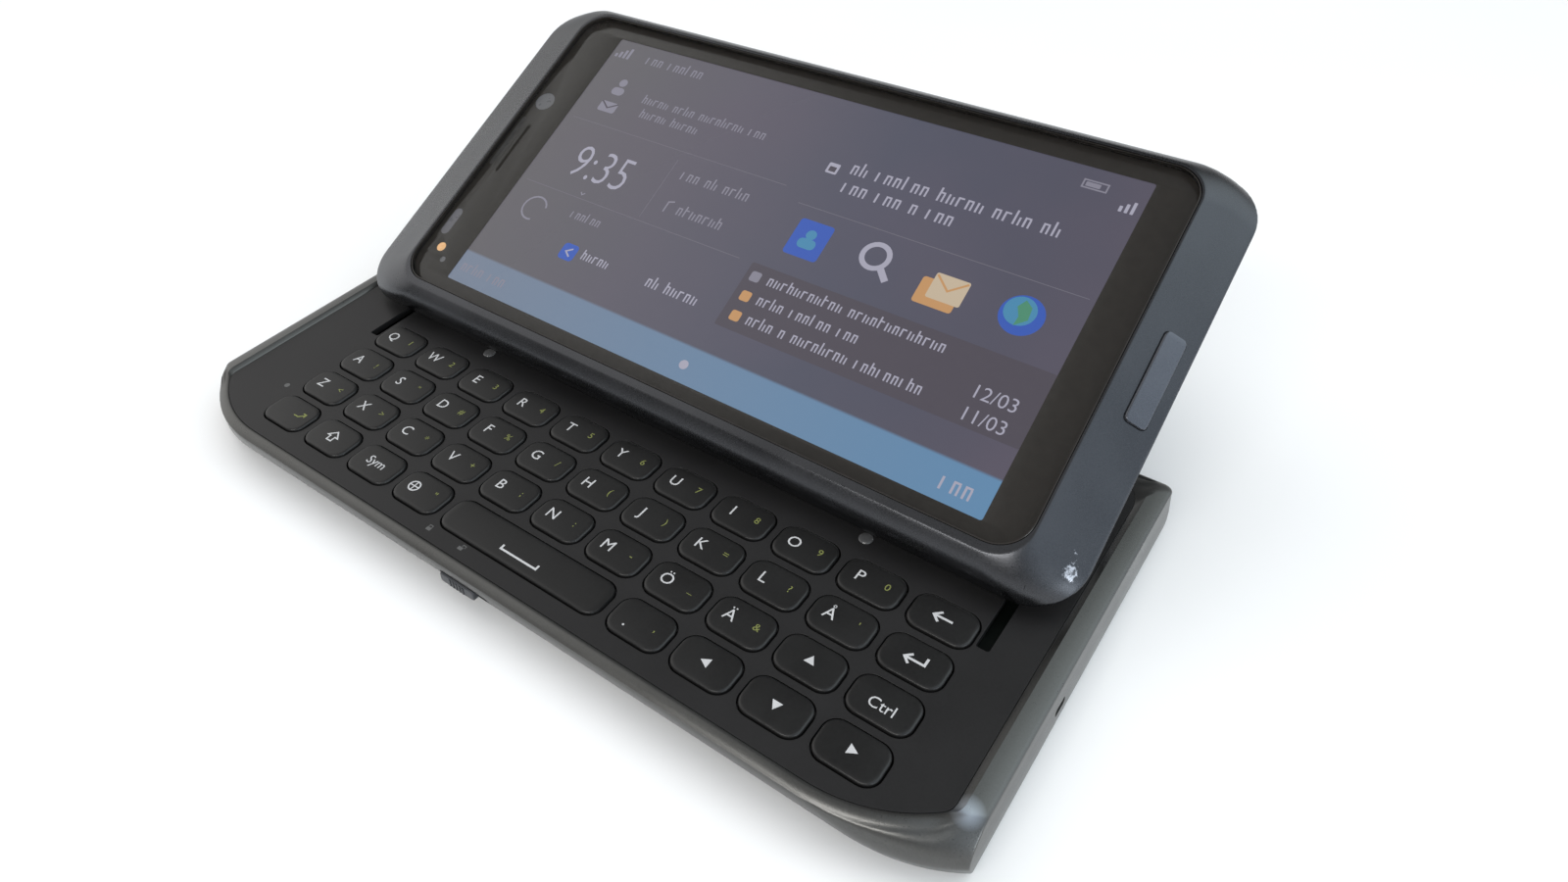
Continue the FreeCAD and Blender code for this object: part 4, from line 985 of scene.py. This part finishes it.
# what the screen shows: plain shapes, digits and small strokes, each in an ink that glows

inks = {
    # glow colour, strength
    "text": ((0.60, 0.58, 0.72), 0.62), "faint": ((0.42, 0.40, 0.50), 0.55), "blue": ((0.05, 0.13, 0.58), 0.75),
    "sky": ((0.09, 0.34, 0.58), 0.70), "orange": ((0.62, 0.33, 0.14), 0.85), "cream": ((0.72, 0.58, 0.42), 0.75),
    "green": ((0.10, 0.36, 0.22), 0.70), "shade": ((0.075, 0.065, 0.085), 1.0), "hair": ((0.17, 0.16, 0.20), 0.9),
}
for ink, (glow, strength) in inks.items():
    finishes[ink] = plainFinish("ui" + ink.capitalize(), (0.01, 0.01, 0.01), 0.14, emission=glow, strength=strength,
                                specular=0.3)
drawn = {ink: [] for ink in inks}
ui = {"z": 5.123, "layer": 0.006, "thick": 0.005}


def draw(ink, mesh, x=0.0, y=0.0, layer=0):
    drawn[ink].append(moved(mesh, shift(x + screen["middle"], y, ui["z"] + ui["layer"] * layer)))


def bar(x0, x1, y0, y1, corner=0.2):
    return prism(roundedOutline(x0, x1, y0, y1, corner, 3), 0, ui["thick"])


def disc(radius, x=0.0, y=0.0, sides=24):
    return prism(circle(x, y, radius, sides), 0, ui["thick"])


def line(points, width, closed=False):
    return stroke(points, width, 0, ui["thick"], closed)


def scribble(ink, x, y, words, size=1.6, layer=0):
    # rows of small strokes in place of words
    pitch = 0.62 * size
    for length in words:
        count = max(1, round(length / pitch))
        for i in range(count):
            parts = [((0, 0.13), (0, 1 if (i * 3 + count) % 5 == 0 else 0.7))]
            if (i + count) % 3:
                parts.append(((0.13, 0.4), (0.58, 0.7)))
            if (i * 2 + count) % 3:
                parts.append(((0.3, 0.42), (0, 0.58)))
            for across, up in parts:
                draw(ink, block([v * size for v in across], [v * size for v in up], (0, ui["thick"])), x + i * pitch,
                     y - 0.36 * size, layer)
        x += (count + 0.8) * pitch


# status line
for i in range(4):
    draw("faint", bar(0, 0.5, 0, 0.7 + 0.5 * i, 0.1), -43.6 + 0.8 * i, 21.4)
scribble("faint", -37.2, 22.2, (3.2, 7.0), 1.9)
draw("faint", line([(-1.6, -0.6), (1.6, -0.6), (1.6, 0.6), (-1.6, 0.6)], 0.22, True), 37.4, 22.3)
draw("faint", bar(-1.25, 0.7, -0.35, 0.35, 0.1), 37.4, 22.3)
for i in range(3):
    draw("text", bar(0, 0.42, 0, 0.9 + 0.5 * i, 0.1), 41.4 + 0.75 * i, 19.6)
# a small figure and an envelope, with two lines beside them
draw("faint", disc(0.75), -38.4, 16.9)
draw("faint", bar(-1.2, 1.2, 0, 1.5, 0.7), -38.4, 14.4)
draw("faint", bar(-1.7, 1.7, -1.0, 1.0, 0.4), -38.2, 11.9)
draw("shade", line([(-1.6, 0.9), (0, -0.2), (1.6, 0.9)], 0.25), -38.2, 11.9, 1)
scribble("faint", -33.0, 15.0, (5.6, 3.8, 8.0, 3.4), 1.7)
scribble("faint", -31.8, 12.4, (5.4, 5.2), 1.7)
# clock, with what stands beside and under it
draw("text", moved(writing("9:35", 8.6, ui["thick"], -0.012), Matrix.Diagonal((0.78, 1, 1, 1))), -31.8, 1.0)
draw("faint", line([(-0.4, 0.2), (0, -0.2), (0.4, 0.2)], 0.2), -32.0, -3.9)
scribble("faint", -18.4, 4.5, (3.6, 2.2, 4.6), 1.9)
draw("faint", line([(-0.35, -0.9), (-0.35, 0.9), (0.6, 1.2)], 0.25), -17.2, -1.2)
scribble("faint", -15.4, -1.2, (8.2,), 1.9)
for x0, x1, y0, y1 in ((-43, -2.0, -4.85, -4.75), (-43, -2.0, 8.35, 8.45), (-20.6, -20.5, -4.2, 6.8),
                       (1.2, 43.5, 6.35, 6.45)):
    draw("hair", bar(x0, x1, y0, y1, 0.04))
# left list
draw("faint", line(circle(0, 0, 2.1, 20)[1:17], 0.3), -38.3, -9.0)
scribble("faint", -31.5, -7.7, (5.6,), 1.6)
draw("blue", bar(-1.4, 1.4, -1.4, 1.4, 0.6), -27.7, -13.6)
draw("text", line([(0.5, 0.7), (-0.5, 0), (0.5, -0.7)], 0.25), -27.7, -13.6, 1)
scribble("text", -25.2, -13.3, (5.0,), 1.7)
scribble("text", -12.9, -13.3, (2.2, 5.4), 1.9)
# right side: a heading of two lines
draw("text", bar(-0.9, 0.9, -0.9, 0.9, 0.2), 3.0, 13.3)
draw("shade", bar(-0.55, 0.55, -0.55, 0.3, 0.1), 3.0, 13.3, 1)
scribble("text", 5.7, 14.1, (2.2, 8.0, 7.0, 5.0, 2.6), 2.25)
scribble("text", 5.9, 10.9, (3.6, 4.2, 1.2, 4.6), 2.25)
# four icons: a figure, a magnifier, two envelopes and a globe
draw("blue", bar(-2.7, 2.7, -3.0, 3.0, 0.5), 5.8, 1.4)
draw("sky", disc(0.8), 5.8, 2.2, 1)
draw("sky", bar(-1.4, 1.4, -1.5, 0.1, 0.7), 5.8, 1.4, 1)
draw("text", line(circle(0, 0, 1.9, 24), 0.75, True), 15.8, 2.4)
draw("text", line([(1.3, -1.3), (3.0, -3.1)], 0.95), 15.8, 2.4)
draw("orange", bar(-3.0, 2.6, -2.3, 1.7, 0.4), 26.2, 0.4)
draw("cream", bar(-1.6, 3.2, -1.1, 2.8, 0.3), 26.2, 0.4, 1)
draw("orange", line([(-1.4, 2.5), (0.8, 0.6), (3.0, 2.5)], 0.3), 26.2, 0.4, 2)
draw("blue", disc(2.9, sides=32), 37.0, 1.3)
draw("sky", disc(2.1, -0.4, 0.5, 28), 37.0, 1.3, 1)
land = [(0.0, -2.0), (1.4, -0.7), (1.2, 1.1), (0.1, 1.9), (-0.6, 0.7), (0.1, -0.6)]
draw("green", prism(land, 0, ui["thick"]), 36.6, 1.6, 2)
# message list with its dates
draw("shade", bar(0.2, 44.3, -15.2, -4.6, 0.3))
for i, (ink, words) in enumerate((("faint", (11.4, 13.6)), ("orange", (4.4, 6.2, 3.6)),
                                  ("orange", (4.6, 1.4, 8.8, 9.6)))):
    draw(ink, bar(-0.8, 0.8, -0.8, 0.8, 0.35), 1.8 + 0.3 * i, -6.6 - 3.2 * i, 1)
    scribble("text", 3.9 + 0.2 * i, -6.6 - 3.2 * i, words, 1.75, 1)
for i, day in enumerate(("12/03", "11/03")):
    draw("text", writing(day, 2.7, ui["thick"], -0.004), 39.0, -10.4 - 3.2 * i, 1)
# bar along the near edge
scribble("faint", -43.2, -22.3, (4.2, 3.6), 1.9)
draw("text", disc(0.7, sides=18), -0.3, -22.3)
scribble("text", 37.9, -22.6, (4.4,), 2.4)
addPiece("homeScreen", moved(joinMeshes(*drawn.values()), displayPlace), list(inks), "display")
print("glass and screen ready")

# menu key, side controls and SIM tray

menuMesh = grown(capTree(finishes["menu"]), displayPlace @ menuPlace @ shift(0, 0, menu["low"]), **menu["cap"])
addPiece("menuBar", menuMesh, ["menu"], "menu_key", "menu_key", angle=50)

sideControls = [
    # piece, node, place, width, depth, how far it stands out, ribs and their pitch
    ("lockSlider", "lock_slider", (-3.55, -31.15, 3.8, "front"), 5.9, 2.0, -0.1, 5, 0.55),
    ("volumeSlider", "volume_slider", (16, 31.15, 3.8, "rear"), 12, 2.0, -0.1, 3, 1.4),
    ("cameraKey", "camera_key", (44.5, 31.15, 3.8, "rear"), 9, 1.5, -0.03, 0, 0),
    ("powerKey", "power_key", (-61.85, -8.5, 3.8, "left"), 7, 1.7, 0.1, 0, 0),
]
control = {"cap": {"Depth": 1.6, "Corner": 0.45, "Edge": 0.2, "Crown": 0.05}, "ribRise": 0.02,
           "rib": {"Length": 0.24, "Depth": 1.056, "Height": 0.12}}
controlTree, controlRibs = capTree(finishes["controls"]), ribTree(finishes["controls"])
for name, nodeName, at, width, depth, proud, ribs, pitch in sideControls:
    place = sideFace(*at)
    parts = [grown(controlTree, place @ shift(0, 0, proud - depth), Width=width, Height=depth, **control["cap"])]
    if ribs:
        points = [((i - (ribs - 1) / 2) * pitch, 0, proud + control["ribRise"]) for i in range(ribs)]
        parts.append(grown(controlRibs, place, points, **control["rib"]))
    addPiece(name, joinMeshes(parts), ["controls"], nodeName, nodeName, angle=50)

tray = {"back": (30.5, -4.75, 2.8, "front"),
        "cap": {"Width": 17.0, "Depth": 1.2, "Height": 25.0, "Corner": 0.25, "Edge": 0.08, "Crown": 0.0}}
trayMesh = grown(capTree(finishes["tray"]), sideFace(*tray["back"]), **tray["cap"])
addPiece("simTray", trayMesh, ["tray"], "sim_tray", "sim_tray", angle=50)
print("controls ready")

# display back cover

backCover = {"halfX": 55, "halfY": 24.9, "corner": 4.0, "levels": ((0.0, 0.12), (0.04, 0.03), (0.12, 0.0), (0.95, 0.0)),
             "slotHalf": 1.2, "slotY": (-31.2, 7.4), "slotZ": (-1, 2)}
backScrews = {"at": ((-40, -21), (42, -21), (-40, 21), (42, 21)), "seat": 1.15, "deep": 0.45, "z": -0.28,
              "head": {"Radius": 1.05, "Height": 0.34, "Recess": 0.45}}
backRings = [level(z, plate(2 * (backCover["halfX"] - tuck), 2 * (backCover["halfY"] - tuck),
                            backCover["corner"] - tuck, 10)) for z, tuck in backCover["levels"]]
backCuts = [block((x - backCover["slotHalf"], x + backCover["slotHalf"]), backCover["slotY"], backCover["slotZ"])
            for x in places["railX"]]
backCuts += [prism(circle(x, y, backScrews["seat"], 20), -beyond, backScrews["deep"]) for x, y in backScrews["at"]]
addPiece("displayBack", moved(carve(loft(backRings), backCuts), displayPlace), ["back"], "display",
         "display_back", angle=32)
addPiece("displayScrews", screwHeads(backScrews, displayPlace @ under), ["darkSteel"], "display")
print("display back ready")

print("scene built")
